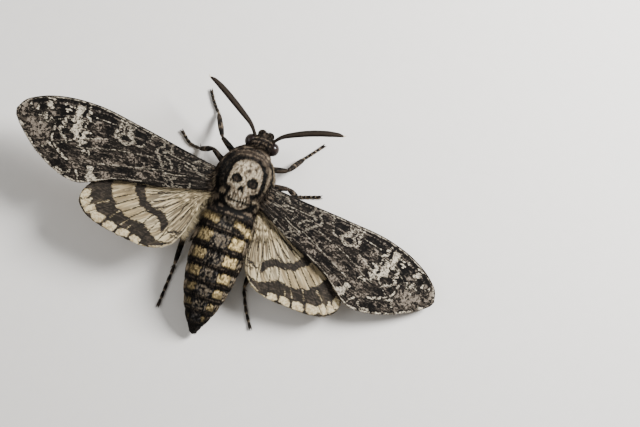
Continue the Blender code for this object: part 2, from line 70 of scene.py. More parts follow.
class Side(Enum):
    """The moth's left and right, with the sign of x there."""

    LEFT = 1.0
    RIGHT = -1.0

    @property
    def letter(self) -> str:
        """The last letter of the node names on this side."""
        return "l" if self is Side.LEFT else "r"


class Slot(str, Enum):
    """The record's material slots."""

    COAT_DARK = "coat_dark"
    COAT_BANDED = "coat_banded"
    SCALES_DARK = "scales_dark"
    SCALES_PALE = "scales_pale"
    HORN_DARK = "horn_dark"
    EYE = "eye"


class LegPart(Enum):
    """The parts of a leg, which differ in colour."""

    THIGH = 0
    SHIN = 1
    FOOT = 2
    CLAW = 3


class Shape(Enum):
    """How a marking is drawn from its points."""

    STROKE = "stroke"
    BLOB = "blob"
    OVAL = "oval"
    RING = "ring"


def to_frame(points: np.ndarray) -> np.ndarray:
    """Millimetres in the moth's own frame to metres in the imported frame."""
    return (points - CENTRE) * MM


def smooth_read(knots: np.ndarray, places: np.ndarray, where: np.ndarray) -> np.ndarray:
    """Values on a smooth curve through knots.

    Args:
        knots: one row of values for each knot.
        places: where each knot lies, in rising order.
        where: where the curve is read.

    Returns:
        One row of values for each place read.
    """
    slopes = np.gradient(knots, places, axis=0)
    spot = np.clip(where, places[0], places[-1])
    i = np.clip(np.searchsorted(places, spot, side="right") - 1, 0, len(places) - 2)
    span = (places[i + 1] - places[i])[:, None]
    f = (spot - places[i])[:, None] / span
    rise = 3 * f**2 - 2 * f**3
    start = (f**3 - 2 * f**2 + f) * span
    end = (f**3 - f**2) * span
    return (1 - rise) * knots[i] + rise * knots[i + 1] + start * slopes[i] + end * slopes[i + 1]


def rows_at(rows: tuple, where: np.ndarray) -> np.ndarray:
    """Read a table of rows, whose first value is its place, at many places."""
    knots = np.array(rows, float)
    return smooth_read(knots, knots[:, 0], where)


def curve_at(points: tuple, shares: np.ndarray) -> np.ndarray:
    """Read a smooth curve that runs through given points.

    Args:
        points: the points, in order.
        shares: shares of the curve's length, from 0 to 1.

    Returns:
        The curve's point at each share.
    """
    knots = np.array(points, float)
    steps = np.linalg.norm(np.diff(knots, axis=0), axis=1)
    places = np.concatenate([[0.0], np.cumsum(steps)])
    return smooth_read(knots, places, shares * places[-1])


def unit(vectors: np.ndarray) -> np.ndarray:
    """Vectors scaled to length one."""
    return vectors / np.maximum(np.linalg.norm(vectors, axis=-1, keepdims=True), 1e-9)


def ease(value: np.ndarray, low: float, high: float) -> np.ndarray:
    """Smooth step from 0 at low to 1 at high."""
    f = np.clip((value - low) / (high - low), 0.0, 1.0)
    return f * f * (3 - 2 * f)


def ripple(points: np.ndarray, size: float, seed: float = 0.0) -> np.ndarray:
    """Smooth noise between 0 and 1.

    Args:
        points: places in millimetres.
        size: how big its lumps are, in millimetres.
        seed: which of many such noises it is.

    Returns:
        The noise at each place.
    """
    grid = points / size
    cell = np.floor(grid)
    f = grid - cell
    f = f * f * (3 - 2 * f)
    total = np.zeros(len(points))
    for corner in range(8):
        bits = np.array([(corner >> k) & 1 for k in range(3)], float)
        spot = cell + bits
        mixed = spot @ np.array((127.1, 311.7, 74.7)) + 17.3 * seed
        value = np.modf(np.abs(np.sin(mixed) * 43758.5453))[0]
        total += value * np.prod(np.where(bits > 0, f, 1 - f), axis=1)
    return total


def plain(colour: tuple, count: int) -> np.ndarray:
    """The same colour for many places."""
    return np.tile(np.array(colour), (count, 1))


def blend_colours(base: np.ndarray, colour: tuple | np.ndarray, mask: np.ndarray) -> np.ndarray:
    """Lay a colour, or one for each place, over others where the mask is 1."""
    return base + (np.array(colour) - base) * mask[:, None]


@dataclass(frozen=True)
class Mark:
    """One marking on a flat place, which gives its distance in millimetres.

    Attributes:
        shape: how the points are drawn.
        points: points of a stroke or an outline, or the middle and the two
            half sizes of an oval or ring.
        width: a stroke's or ring's width.
    """

    shape: Shape
    points: tuple
    width: float = 0.4

    def distance(self, at: np.ndarray) -> np.ndarray:
        """Distance to the marking's edge.

        Args:
            at: x and y of each place.

        Returns:
            Millimetres to the edge, below zero inside the marking.
        """
        if self.shape is Shape.STROKE:
            return self.to_line(at, False) - self.width / 2
        if self.shape is Shape.BLOB:
            return self.to_line(at, True) * self.outside(at)
        middle = np.array(self.points[0], float)
        half = np.array(self.points[1], float)
        reach = np.linalg.norm((at - middle) / half, axis=1)
        edge = (reach - 1.0) * half.min()
        if self.shape is Shape.OVAL:
            return edge
        return np.abs(edge) - self.width / 2

    def to_line(self, at: np.ndarray, closed: bool) -> np.ndarray:
        """Distance to the line through the points.

        Args:
            at: x and y of each place.
            closed: whether the line returns to its start.

        Returns:
            Millimetres to the line.
        """
        knots = np.array(self.points, float)
        ends = np.roll(knots, -1, axis=0) if closed else knots[1:]
        best = np.full(len(at), 1e9)
        for a, b in zip(knots, ends):
            along = b - a
            share = np.clip((at - a) @ along / max(along @ along, 1e-9), 0.0, 1.0)
            best = np.minimum(best, np.linalg.norm(at - a - share[:, None] * along, axis=1))
        return best

    def outside(self, at: np.ndarray) -> np.ndarray:
        """Which side of the closed outline each place lies on.

        Args:
            at: x and y of each place.

        Returns:
            1 outside the outline and -1 inside it.
        """
        knots = np.array(self.points, float)
        crossings = np.zeros(len(at), int)
        for a, b in zip(knots, np.roll(knots, -1, axis=0)):
            spans = (a[1] > at[:, 1]) != (b[1] > at[:, 1])
            rise = b[1] - a[1]
            place = a[0] + (at[:, 1] - a[1]) * (b[0] - a[0]) / (rise if rise else 1e-9)
            crossings += spans & (at[:, 0] < place)
        return np.where(crossings % 2 == 1, -1.0, 1.0)


def stroke(width: float, *points: tuple) -> Mark:
    """A line of one width."""
    return Mark(Shape.STROKE, points, width)


def blob(*points: tuple) -> Mark:
    """A filled outline."""
    return Mark(Shape.BLOB, points)


def oval(middle: tuple, half: tuple) -> Mark:
    """A filled oval."""
    return Mark(Shape.OVAL, (middle, half))


def ring(middle: tuple, half: tuple, width: float) -> Mark:
    """The line of an oval."""
    return Mark(Shape.RING, (middle, half), width)


def nearest(marks: tuple, at: np.ndarray) -> np.ndarray:
    """Distance to the nearest of several markings.

    Args:
        marks: the markings.
        at: x and y of each place.

    Returns:
        Millimetres to the nearest edge, and FAR at most.
    """
    best = np.full(len(at), FAR)
    for mark in marks:
        best = np.minimum(best, mark.distance(at))
    return best


def new_mesh(name: str, build: bmesh.types.BMesh) -> Mesh:
    """Turn a bmesh into a mesh and free it.

    Args:
        name: the mesh's name.
        build: the bmesh, which can't be used afterwards.

    Returns:
        The mesh.
    """
    mesh = bpy.data.meshes.new(name)
    build.to_mesh(mesh)
    build.free()
    return mesh


def coordinates(mesh: Mesh) -> np.ndarray:
    """The places of a mesh's vertices.

    Args:
        mesh: the mesh.

    Returns:
        One row of x, y and z for each vertex.
    """
    out = np.empty(len(mesh.vertices) * 3)
    mesh.vertices.foreach_get("co", out)
    return out.reshape(-1, 3)


def place_vertices(mesh: Mesh, points: np.ndarray) -> None:
    """Give a closed mesh its shape and point its faces outwards.

    Args:
        mesh: the mesh.
        points: each vertex's new place, in the moth's millimetres.
    """
    mesh.vertices.foreach_set("co", to_frame(points).ravel())
    mesh.update()
    probe = bmesh.new()
    probe.from_mesh(mesh)
    inside_out = probe.calc_volume(signed=True) < 0
    probe.free()
    if inside_out:
        mesh.flip_normals()


def store_values(mesh: Mesh, name: str, values: np.ndarray) -> None:
    """Keep a number, a vector or a colour for each vertex.

    Args:
        mesh: the mesh.
        name: the attribute's name.
        values: one number, or one row of three or four, for each vertex.
    """
    kinds = {1: ("FLOAT", "value"), 3: ("FLOAT_VECTOR", "vector"), 4: ("FLOAT_COLOR", "color")}
    wide = 1 if values.ndim == 1 else values.shape[1]
    kind, slot = kinds[wide]
    layer = mesh.attributes.new(name, kind, "POINT")
    layer.data.foreach_set(slot, np.ascontiguousarray(values, dtype=np.float32).ravel())


def store_colours(mesh: Mesh, colours: np.ndarray) -> None:
    """Keep a coat colour for each vertex."""
    store_values(mesh, "coat", np.column_stack([np.clip(colours, 0.0, 1.0), np.ones(len(colours))]))


def put_in_scene(name: str, data: ID) -> Object:
    """Add an object to the scene.

    Args:
        name: the object's name.
        data: its mesh, lamp or camera.

    Returns:
        The object.
    """
    thing = bpy.data.objects.new(name, data)
    bpy.context.scene.collection.objects.link(thing)
    return thing


def add_piece(name: str, mesh: Mesh, look: Material) -> Object:
    """Make a mesh a dressed piece that rides on the moth's body.

    Args:
        name: the piece's name.
        mesh: its mesh.
        look: its material.

    Returns:
        The piece.
    """
    mesh.materials.append(look)
    mesh.shade_smooth()
    thing = put_in_scene(name, mesh)
    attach(thing, BODY)
    mesh.calc_loop_triangles()
    LOG.info("%s has %d triangles", name, len(mesh.loop_triangles))
    return thing


def sleeve(name: str, rows: int, sides: int) -> tuple:
    """A closed sleeve that is waiting for its shape.

    Args:
        name: the mesh's name.
        rows: rings from one closed end to the other.
        sides: corners of each ring.

    Returns:
        The mesh, each vertex's share along it, and its angle around it.
    """
    build = bmesh.new()
    bmesh.ops.create_uvsphere(build, u_segments=sides, v_segments=rows, radius=1.0)
    mesh = new_mesh(name, build)
    spots = coordinates(mesh)
    share = np.round(np.arccos(np.clip(spots[:, 2], -1.0, 1.0)) / math.pi, 5)
    around = np.arctan2(spots[:, 1], spots[:, 0])
    return mesh, share, around


@dataclass(frozen=True)
class Strand:
    """A limb with a round section that runs along a smooth path.

    Attributes:
        path: points of its middle line.
        radii: pairs of share along it and radius there.
        flat: the section's height over its width.
        level: keeps the section upright.
        steps: places along it at which its directions are worked out.
    """

    path: tuple
    radii: tuple
    flat: float = 1.0
    level: bool = False
    steps: int = 241

    def frames(self, shares: np.ndarray) -> tuple:
        """The directions of its section.

        Args:
            shares: shares of its length.

        Returns:
            The middle, and the directions ahead, to the side and up, at each share.
        """
        marks = np.linspace(0.0, 1.0, self.steps)
        fine = curve_at(self.path, marks)
        ahead = unit(np.gradient(fine, axis=0))
        side = np.cross(ahead, (0.0, 0.0, 1.0))
        if not self.level:
            carried = side[0]
            for i, way in enumerate(ahead):
                carried = carried - carried @ way * way
                carried = carried / np.linalg.norm(carried)
                side[i] = carried
        side = unit(side)
        up = np.cross(side, ahead)
        found = []
        for values in (fine, ahead, side, up):
            found.append(np.column_stack([np.interp(shares, marks, values[:, k]) for k in range(3)]))
        return found[0], unit(found[1]), unit(found[2]), unit(found[3])

    def radius(self, shares: np.ndarray) -> np.ndarray:
        """Radius at shares of its length."""
        table = np.array(self.radii, float)
        return np.interp(shares, table[:, 0], table[:, 1])

    def surface(self, shares: np.ndarray, around: np.ndarray, swell: float | np.ndarray = 0.0) -> tuple:
        """Places on its skin.

        Args:
            shares: shares of its length.
            around: angles around it, from the side upwards.
            swell: what is added to its radius.

        Returns:
            The points and their outward directions.
        """
        middle, _, side, up = self.frames(shares)
        out = side * np.cos(around)[:, None] + up * (self.flat * np.sin(around))[:, None]
        reach = self.radius(shares) + swell
        return middle + out * reach[:, None], unit(out)


# What a node's input takes: a constant, or a socket to join to it.
Value = float | tuple | NodeSocket
# Blender's names for the types of a node group's sockets.
NUMBER = "NodeSocketFloat"
ARROW = "NodeSocketVector"


class Tree:
    """Short calls to add and join the nodes of a material or a node group."""

    def __init__(self, tree: NodeTree) -> None:
        """Keep the node tree that the calls add to."""
        self.tree = tree

    def feed(self, node: Node, inputs: dict) -> Node:
        """Join a socket or set a constant at each input, by name or number."""
        for key, value in inputs.items():
            if isinstance(value, NodeSocket):
                self.tree.links.new(value, node.inputs[key])
            else:
                node.inputs[key].default_value = value
        return node

    def node(self, kind: str, inputs: dict, **settings: object) -> Node:
        """Add a node, set its options, and join or set its inputs.

        Args:
            kind: Blender's name for the node's type.
            inputs: a socket to join or a constant for each input, by name or number.
            **settings: options of the node.

        Returns:
            The new node.
        """
        node = self.tree.nodes.new(kind)
        for key, value in settings.items():
            setattr(node, key, value)
        return self.feed(node, inputs)

    def math(self, operation: str, a: Value, b: Value, clamp: bool = False) -> NodeSocket:
        """Add a maths node and return its result."""
        return self.node("ShaderNodeMath", {0: a, 1: b}, operation=operation, use_clamp=clamp).outputs[0]

    def times(self, a: Value, b: Value) -> NodeSocket:
        """The product of two numbers."""
        return self.math("MULTIPLY", a, b)

    def span(self, value: Value, low: float, high: float, to_low: float = 0.0,
             to_high: float = 1.0) -> NodeSocket:
        """Map a value smoothly from one range to another and keep it there."""
        inputs = {"Value": value, "From Min": low, "From Max": high, "To Min": to_low, "To Max": to_high}
        return self.node("ShaderNodeMapRange", inputs, interpolation_type="SMOOTHSTEP").outputs[0]

    def mix(self, share: Value, a: Value, b: Value, blend: str = "MIX") -> NodeSocket:
        """Mix two colours and return the result."""
        inputs = {0: share, 6: tint(a), 7: tint(b)}
        return self.node("ShaderNodeMix", inputs, data_type="RGBA", blend_type=blend).outputs[2]

    def attribute(self, name: str, output: str = "Fac") -> NodeSocket:
        """Read a value that the mesh keeps for each vertex."""
        node = self.node("ShaderNodeAttribute", {}, attribute_type="GEOMETRY", attribute_name=name)
        return node.outputs[output]

    def place(self) -> NodeSocket:
        """The place on the object, in metres."""
        return self.node("ShaderNodeTexCoord", {}).outputs["Object"]

    def scaled(self, vector: Value, factor: Value) -> NodeSocket:
        """A place multiplied by one factor."""
        return self.node("ShaderNodeVectorMath", {0: vector, 3: factor}, operation="SCALE").outputs[0]

    def stretch(self, vector: Value, scale: tuple) -> NodeSocket:
        """Scale a place on each axis."""
        return self.node("ShaderNodeMapping", {"Vector": vector, "Scale": scale}).outputs[0]

    def noise(self, vector: Value, scale: float, detail: float = 2.0, rough: float = 0.5,
              warp: float = 0.0) -> NodeSocket:
        """Noise between 0 and 1, with finer layers by detail and rough, bent by warp."""
        inputs = {"Vector": vector, "Scale": scale, "Detail": detail, "Roughness": rough, "Distortion": warp}
        return self.node("ShaderNodeTexNoise", inputs).outputs[0]

    def group(self, group: NodeTree, inputs: dict, output: str) -> NodeSocket:
        """Place a shared node group and return one of its outputs."""
        return self.node("ShaderNodeGroup", inputs, node_tree=group).outputs[output]


def tint(colour: Value) -> Value:
    """A colour of three numbers with its alpha added, or a socket as it is."""
    return colour if isinstance(colour, NodeSocket) else (*colour, 1.0)


def new_group(name: str, inputs: dict, outputs: tuple) -> tuple:
    """Start a shader node group.

    Args:
        name: the group's name.
        inputs: each input's name and socket type.
        outputs: names of the outputs, all of them numbers.

    Returns:
        The group's Tree, its input sockets by name and its output node.
    """
    tree = bpy.data.node_groups.new(name, "ShaderNodeTree")
    for label, kind in inputs.items():
        tree.interface.new_socket(label, in_out="INPUT", socket_type=kind)
    for label in outputs:
        tree.interface.new_socket(label, in_out="OUTPUT", socket_type=NUMBER)
    return Tree(tree), tree.nodes.new("NodeGroupInput").outputs, tree.nodes.new("NodeGroupOutput")


class SharedEffects:
    """Node groups that several finishes use.

    Attributes:
        ragged: a mask with a ragged edge.
        scales: rows of tiny scales.
        fleck: long crooked flecks.
    """

    def __init__(self) -> None:
        """Build each group once."""
        self.ragged = self.build_ragged()
        self.scales = self.build_scales()
        self.fleck = self.build_fleck()

    def build_ragged(self) -> NodeTree:
        """A mask whose edge is ragged, as where scales of two colours meet.

        Returns:
            The node group.
        """
        inputs = {"Distance": NUMBER, "Place": ARROW, "Rag": NUMBER, "Soft": NUMBER}
        tree, start, end = new_group("ragged_edge", inputs, ("Mask",))
        coarse = tree.noise(tree.stretch(start["Place"], (0.75, 2.2, 1.0)), 1.5, 3.0, 0.6)
        shift = tree.times(tree.math("SUBTRACT", coarse, 0.5), start["Rag"])
        depth = tree.math("SUBTRACT", shift, start["Distance"])
        share = tree.math("DIVIDE", depth, start["Soft"])
        tree.feed(end, {"Mask": tree.math("ADD", share, 0.5, clamp=True)})
        return tree.tree

    def build_scales(self) -> NodeTree:
        """Rows of tiny scales: a shade for each scale and a height.

        Returns:
            The node group.
        """
        tree, start, end = new_group("scale_rows", {"Place": ARROW, "Size": NUMBER}, ("Shade", "Height"))
        size = tree.scaled(start["Place"], start["Size"])
        cells = tree.node("ShaderNodeTexVoronoi", {"Vector": size, "Scale": 1.0, "Randomness": 0.8})
        shade = tree.node("ShaderNodeSeparateColor", {0: cells.outputs["Color"]}).outputs[0]
        height = tree.span(cells.outputs["Distance"], 0.1, 0.75, 1.0, 0.0)
        tree.feed(end, {"Shade": shade, "Height": height})
        return tree.tree

    def build_fleck(self) -> NodeTree:
        """Long crooked flecks that follow one direction of a flat place.

        Returns:
            The node group.
        """
        inputs = {"Place": ARROW, "Size": NUMBER, "Cut": NUMBER}
        tree, start, end = new_group("flecks", inputs, ("Mask",))
        size = tree.scaled(start["Place"], start["Size"])
        value = tree.noise(tree.stretch(size, (0.6, 1.7, 1.0)), 1.0, 4.0, 0.62, 0.5)
        over = tree.math("SUBTRACT", value, start["Cut"])
        tree.feed(end, {"Mask": tree.math("MULTIPLY", over, 16.0, clamp=True)})
        return tree.tree


class Finish:
    """A material that is being put together.

    Attributes:
        material: the material.
        nodes: its node tree.
        shader: its Principled shader.
        effects: the shared node groups.
    """

    # Wing scales for each millimetre.
    scale_rows = 7.0

    def __init__(self, name: str, effects: SharedEffects) -> None:
        """Start a material with one Principled shader.

        Args:
            name: the material's name.
            effects: the shared node groups.
        """
        self.material = bpy.data.materials.new(name)
        self.material.use_nodes = True
        self.nodes = Tree(self.material.node_tree)
        self.shader = self.material.node_tree.nodes["Principled BSDF"]
        self.effects = effects

    def feed(self, name: str, value: Value) -> None:
        """Join a socket to one of the shader's inputs, or set it."""
        self.nodes.feed(self.shader, {name: value})

    def surface(self, colour: Value, roughness: Value, specular: float) -> None:
        """Set the shader's colour and gloss.

        Args:
            colour: the base colour.
            roughness: how matt the surface is.
            specular: how much it reflects.
        """
        self.feed("Base Color", colour)
        self.feed("Roughness", roughness)
        self.feed("Specular IOR Level", specular)

    def bump(self, height: Value, depth: float, strength: float) -> None:
        """Raise the surface by a pattern that stands so many metres high."""
        inputs = {"Height": height, "Distance": depth, "Strength": strength}
        self.feed("Normal", self.nodes.node("ShaderNodeBump", inputs).outputs[0])

    def marking(self, name: str, flat: Value, rag: float, soft: float, wider: float = 0.0) -> NodeSocket:
        """Mask of one kind of marking, with a ragged edge.

        Args:
            name: the attribute that keeps the distance to the markings, in millimetres.
            flat: the place on the flat wing.
            rag: how far the edge wanders.
            soft: how wide the edge's blur is.
            wider: how far past the markings the mask reaches.

        Returns:
            The mask.
        """
        distance = self.nodes.attribute(name)
        if wider:
            distance = self.nodes.math("SUBTRACT", distance, wider)
        inputs = {"Distance": distance, "Place": flat, "Rag": rag, "Soft": soft}
        return self.nodes.group(self.effects.ragged, inputs, "Mask")

    def flecks(self, flat: Value, size: float, cut: Value) -> NodeSocket:
        """Mask of crooked flecks, finer with more size and fewer with a higher cut."""
        return self.nodes.group(self.effects.fleck, {"Place": flat, "Size": size, "Cut": cut}, "Mask")

    def scales(self, flat: Value, output: str) -> NodeSocket:
        """The rows of scales on a flat wing: their Shade or their Height."""
        return self.nodes.group(self.effects.scales, {"Place": flat, "Size": self.scale_rows}, output)


@dataclass(frozen=True)
class ForewingFinish:
    """Dark forewing scales with pale broken marks.

    Attributes:
        deep: the darkest scales.
        ground: the wing's own brown.
        dust: grey scales that are scattered over it.
        ash: the grey of mottled patches.
        cream: the pale marks.
        under: the ochre of the underside.
        near, far: how far out from the hinge the pale marks begin to brighten, and
            where they are at their brightest.
    """

    deep: tuple = (0.0025, 0.0022, 0.002)
    ground: tuple = (0.006, 0.0048, 0.0038)
    dust: tuple = (0.04, 0.032, 0.025)
    ash: tuple = (0.17, 0.14, 0.11)
    cream: tuple = (0.58, 0.51, 0.39)
    under: tuple = (0.34, 0.22, 0.085)
    near: float = 12.0
    far: float = 36.0

    def ground_colour(self, finish: Finish, flat: Value, lumps: Value, streak: Value) -> NodeSocket:
        """The brown wing with its grey dust, before its markings.

        Args:
            finish: the material.
            flat: the place on the flat wing.
            lumps: broad noise there.
            streak: noise that is drawn out along the wing.

        Returns:
            The colour.
        """
        t = finish.nodes
        zone = t.attribute("zone")
        colour = t.mix(t.span(lumps, 0.36, 0.62), self.deep, self.ground)
        flecks = finish.flecks(flat, 0.95, t.span(zone, 0.0, 1.0, 0.6, 0.42))
        colour = t.mix(t.times(flecks, 0.85), colour, self.dust)
        fine = finish.flecks(flat, 1.6, t.span(zone, 0.0, 1.0, 0.63, 0.48))
        colour = t.mix(t.times(fine, t.span(zone, 0.0, 1.0, 0.6, 0.9)), colour, self.ash)
        hair = t.times(t.span(streak, 0.55, 0.64), t.span(zone, 0.0, 1.0, 0.6, 0.3))
        return t.mix(hair, colour, self.dust)

    def pale_marks(self, finish: Finish, flat: Value, speck: Value, pale: Value,
                   colour: Value) -> NodeSocket:
        """Lay the pale marks and thin lines over a colour.

        Args:
            finish: the material.
            flat: the place on the flat wing.
            speck: fine noise there.
            pale: the mask of the pale marks.
            colour: the colour below them.

        Returns:
            The colour with the marks.
        """
        t = finish.nodes
        out = t.node("ShaderNodeSeparateXYZ", {"Vector": flat}).outputs[0]
        worn = t.times(t.span(speck, 0.4, 0.47), t.span(out, self.near, self.far, 0.26, 0.74))
        shine = t.mix(t.span(t.noise(flat, 2.2, 3.0, 0.6), 0.4, 0.52), self.ash, self.cream)
        colour = t.mix(t.times(pale, worn), colour, shine)
        line = finish.marking("line", flat, 0.7, 0.16)
        share = t.times(t.span(speck, 0.42, 0.5, 0.1, 0.8), t.span(out, self.near, self.far, 0.5, 0.85))
        return t.mix(t.times(line, share), colour, self.cream)

    def build(self, effects: SharedEffects) -> Material:
        """Make the material.

        Args:
            effects: the shared node groups.

        Returns:
            The material.
        """
        finish = Finish("forewing_scales", effects)
        t = finish.nodes
        flat = t.attribute("flat", "Vector")
        streak = t.noise(t.stretch(t.attribute("fan", "Vector"), (0.5, 5.2, 1.0)), 1.0, 3.0, 0.6)
        lumps = t.noise(flat, 0.35, 2.0, 0.5)
        speck = t.noise(flat, 1.5, 4.0, 0.65, 0.4)
        colour = self.ground_colour(finish, flat, lumps, streak)
        ash = t.mix(t.span(speck, 0.46, 0.54), self.ground, self.ash)
        colour = t.mix(t.times(finish.marking("grey", flat, 4.0, 0.3), 0.85), colour, ash)
        dark = finish.marking("dark", flat, 2.6, 0.25)
        colour = t.mix(t.times(dark, t.span(speck, 0.58, 0.5, 0.35, 0.92)), colour, self.deep)
        halo = finish.marking("pale", flat, 1.6, 0.25, wider=0.45)
        colour = t.mix(t.times(halo, 0.85), colour, self.deep)
        pale = finish.marking("pale", flat, 2.0, 0.16)
        colour = self.pale_marks(finish, flat, speck, pale, colour)
        vein = t.attribute("vein")
        flank = t.times(t.span(vein, 0.1, 0.3), t.span(speck, 0.48, 0.56, 0.0, 0.55))
        colour = t.mix(flank, colour, self.ash)
        colour = t.mix(t.span(vein, 0.45, 0.8, 0.0, 0.9), colour, self.deep)
        below = t.mix(t.span(lumps, 0.3, 0.7), self.dust, self.under)
        below = t.mix(t.times(dark, 0.4), below, self.ground)
        below = t.mix(t.times(pale, 0.5), below, self.cream)
        colour = t.mix(t.span(t.attribute("top"), 0.02, 0.15), below, colour)
        shaded = t.mix(1.0, colour, (0.35, 0.35, 0.35), "MULTIPLY")
        colour = t.mix(t.span(finish.scales(flat, "Shade"), 0.0, 1.0, 0.0, 0.22), colour, shaded)
        finish.surface(colour, t.span(streak, 0.2, 0.8, 0.68, 0.84), 0.06)
        finish.bump(t.math("ADD", finish.scales(flat, "Height"), t.times(streak, 2.5)), 0.00003, 0.8)
        return finish.material


@dataclass(frozen=True)
class HindwingFinish:
    """Ochre hindwing scales with two dark bands and dark veins.

    Attributes:
        deep: the darkest scales and the veins.
        band: brown flecks in the dark bands.
        ochre: the wing's own colour.
        straw: its paler streaks.
        shade: dark hair that is scattered over it.
        under: the yellow of the underside.
    """

    deep: tuple = (0.008, 0.0065, 0.0055)
    band: tuple = (0.03, 0.023, 0.018)
    ochre: tuple = (0.27, 0.205, 0.11)
    straw: tuple = (0.44, 0.37, 0.235)
    shade: tuple = (0.06, 0.045, 0.029)
    under: tuple = (0.52, 0.36, 0.15)

    def build(self, effects: SharedEffects) -> Material:
        """Make the material.

        Args:
            effects: the shared node groups.

        Returns:
            The material.
        """
        finish = Finish("hindwing_scales", effects)
        t = finish.nodes
        flat = t.attribute("flat", "Vector")
        fan = t.attribute("fan", "Vector")
        streak = t.noise(t.stretch(fan, (0.16, 2.0, 1.0)), 1.0, 4.0, 0.65)
        broad = t.noise(t.stretch(fan, (0.12, 0.9, 1.0)), 1.0, 2.0, 0.5)
        colour = t.mix(t.span(broad, 0.35, 0.65), self.ochre, self.straw)
        hair = t.times(t.span(streak, 0.46, 0.55, 1.0, 0.0), t.attribute("hairy"))
        colour = t.mix(hair, colour, self.shade)
        grey = t.times(finish.marking("grey", flat, 3.0, 0.9), t.span(streak, 0.4, 0.6, 0.9, 0.3))
        colour = t.mix(grey, colour, self.shade)
        line = finish.marking("line", flat, 0.6, 0.16)
        colour = t.mix(t.times(line, 0.88), colour, self.deep)
        band = t.mix(finish.flecks(flat, 1.2, 0.52), self.deep, self.band)
        band = t.mix(t.span(streak, 0.56, 0.66, 0.0, 0.5), band, self.shade)
        colour = t.mix(t.times(finish.marking("dark", flat, 2.0, 0.3), 0.98), colour, band)
        spot = t.mix(t.span(t.noise(flat, 1.8, 4.0, 0.65), 0.42, 0.55), self.ochre, self.straw)
        colour = t.mix(finish.marking("pale", flat, 1.3, 0.25), colour, spot)
        colour = t.mix(t.times(line, 0.8), colour, self.deep)
        colour = t.mix(t.span(t.attribute("vein"), 0.2, 0.8, 0.0, 0.55), colour, self.band)
        below = t.mix(0.35, colour, self.under)
        colour = t.mix(t.span(t.attribute("top"), 0.02, 0.15), below, colour)
        finish.surface(colour, t.span(streak, 0.2, 0.8, 0.6, 0.78), 0.1)
        finish.bump(t.math("ADD", finish.scales(flat, "Height"), t.times(streak, 3.0)), 0.00003, 0.9)
        return finish.material


@dataclass(frozen=True)
class CoatFinish:
    """Hair and hair scales, coloured by what each vertex keeps.

    Attributes:
        name: the material's name.
        rough: how matt the hair is.
        grain: lumps of the bump for each metre.
        depth: height of the bump in metres.
        shaded: what the colour is multiplied by in its darker patches.
    """

    name: str
    rough: float = 0.72
    grain: float = 5200.0
    depth: float = 0.00005
    shaded: tuple = (0.45, 0.42, 0.4)

    def build(self, effects: SharedEffects) -> Material:
        """Make the material.

        Args:
            effects: the shared node groups.

        Returns:
            The material.
        """
        finish = Finish(self.name, effects)
        t = finish.nodes
        colour = t.attribute("coat", "Color")
        place = t.place()
        lumps = t.noise(place, self.grain / 4, 3.0, 0.6)
        shaded = t.mix(1.0, colour, self.shaded, "MULTIPLY")
        colour = t.mix(t.span(lumps, 0.3, 0.7, 0.0, 0.35), colour, shaded)
        fine = t.noise(place, self.grain, 2.0, 0.6)
        finish.surface(colour, t.span(fine, 0.3, 0.7, self.rough - 0.08, self.rough + 0.1), 0.07)
        finish.bump(fine, self.depth, 0.8)
        return finish.material


@dataclass(frozen=True)
class HornFinish:
    """Hard dark horn of feelers, claws and tongue, with paler patches.

    Attributes:
        name: the material's name.
        rough: how matt the horn is at its smoothest.
        shine: how much it reflects.
        dark: the horn's own colour.
        pale: the colour of its patches.
    """

    name: str
    rough: float
    shine: float
    dark: tuple = (0.006, 0.005, 0.004)
    pale: tuple = (0.03, 0.022, 0.015)

    def build(self, effects: SharedEffects) -> Material:
        """Make the material.

        Args:
            effects: the shared node groups.

        Returns:
            The material.
        """
        finish = Finish(self.name, effects)
        t = finish.nodes
        place = t.place()
        patches = t.noise(place, 900.0, 3.0, 0.6)
        colour = t.mix(t.span(patches, 0.35, 0.65), self.dark, self.pale)
        colour = t.mix(t.attribute("band"), colour, t.attribute("coat", "Color"))
        fine = t.noise(place, 5000.0, 2.0, 0.5)
        finish.surface(colour, t.span(fine, 0.3, 0.7, self.rough, self.rough + 0.2), self.shine)
        finish.bump(fine, 0.00002, 0.6)
        return finish.material


@dataclass(frozen=True)
class EyeFinish:
    """Glossy black-brown eye made of many facets.

    Attributes:
        core: the eye's own colour.
        bloom: its paler patches.
        facets: facets for each metre.
    """

    core: tuple = (0.006, 0.004, 0.004)
    bloom: tuple = (0.014, 0.009, 0.007)
    facets: float = 9000.0

    def build(self, effects: SharedEffects) -> Material:
        """Make the material.

        Args:
            effects: the shared node groups.

        Returns:
            The material.
        """
        finish = Finish("eye_gloss", effects)
        t = finish.nodes
        place = t.place()
        cells = t.node("ShaderNodeTexVoronoi", {"Vector": place, "Scale": self.facets, "Randomness": 0.25})
        broad = t.noise(place, 700.0, 2.0, 0.5)
        colour = t.mix(t.span(broad, 0.3, 0.7), self.core, self.bloom)
        finish.surface(colour, t.span(broad, 0.3, 0.7, 0.2, 0.3), 0.12)
        finish.feed("Coat Weight", 0.14)
        finish.feed("Coat Roughness", 0.06)
        finish.bump(t.span(cells.outputs["Distance"], 0.0, 0.6, 1.0, 0.0), 0.000008, 0.35)
        return finish.material


# Colours of the coats, from dark to pale.
BLACK = (0.004, 0.0035, 0.003)
UMBER = (0.012, 0.009, 0.007)
BROWN = (0.030, 0.022, 0.016)
DUN = (0.095, 0.073, 0.052)
BUFF = (0.29, 0.23, 0.155)
BONE = (0.49, 0.42, 0.31)
STRAW = (0.54, 0.41, 0.20)
SLATE = (0.04, 0.038, 0.037)
# Colours for places or roots: a function from the places to one colour for each.
Colouring = Callable[[np.ndarray], np.ndarray]


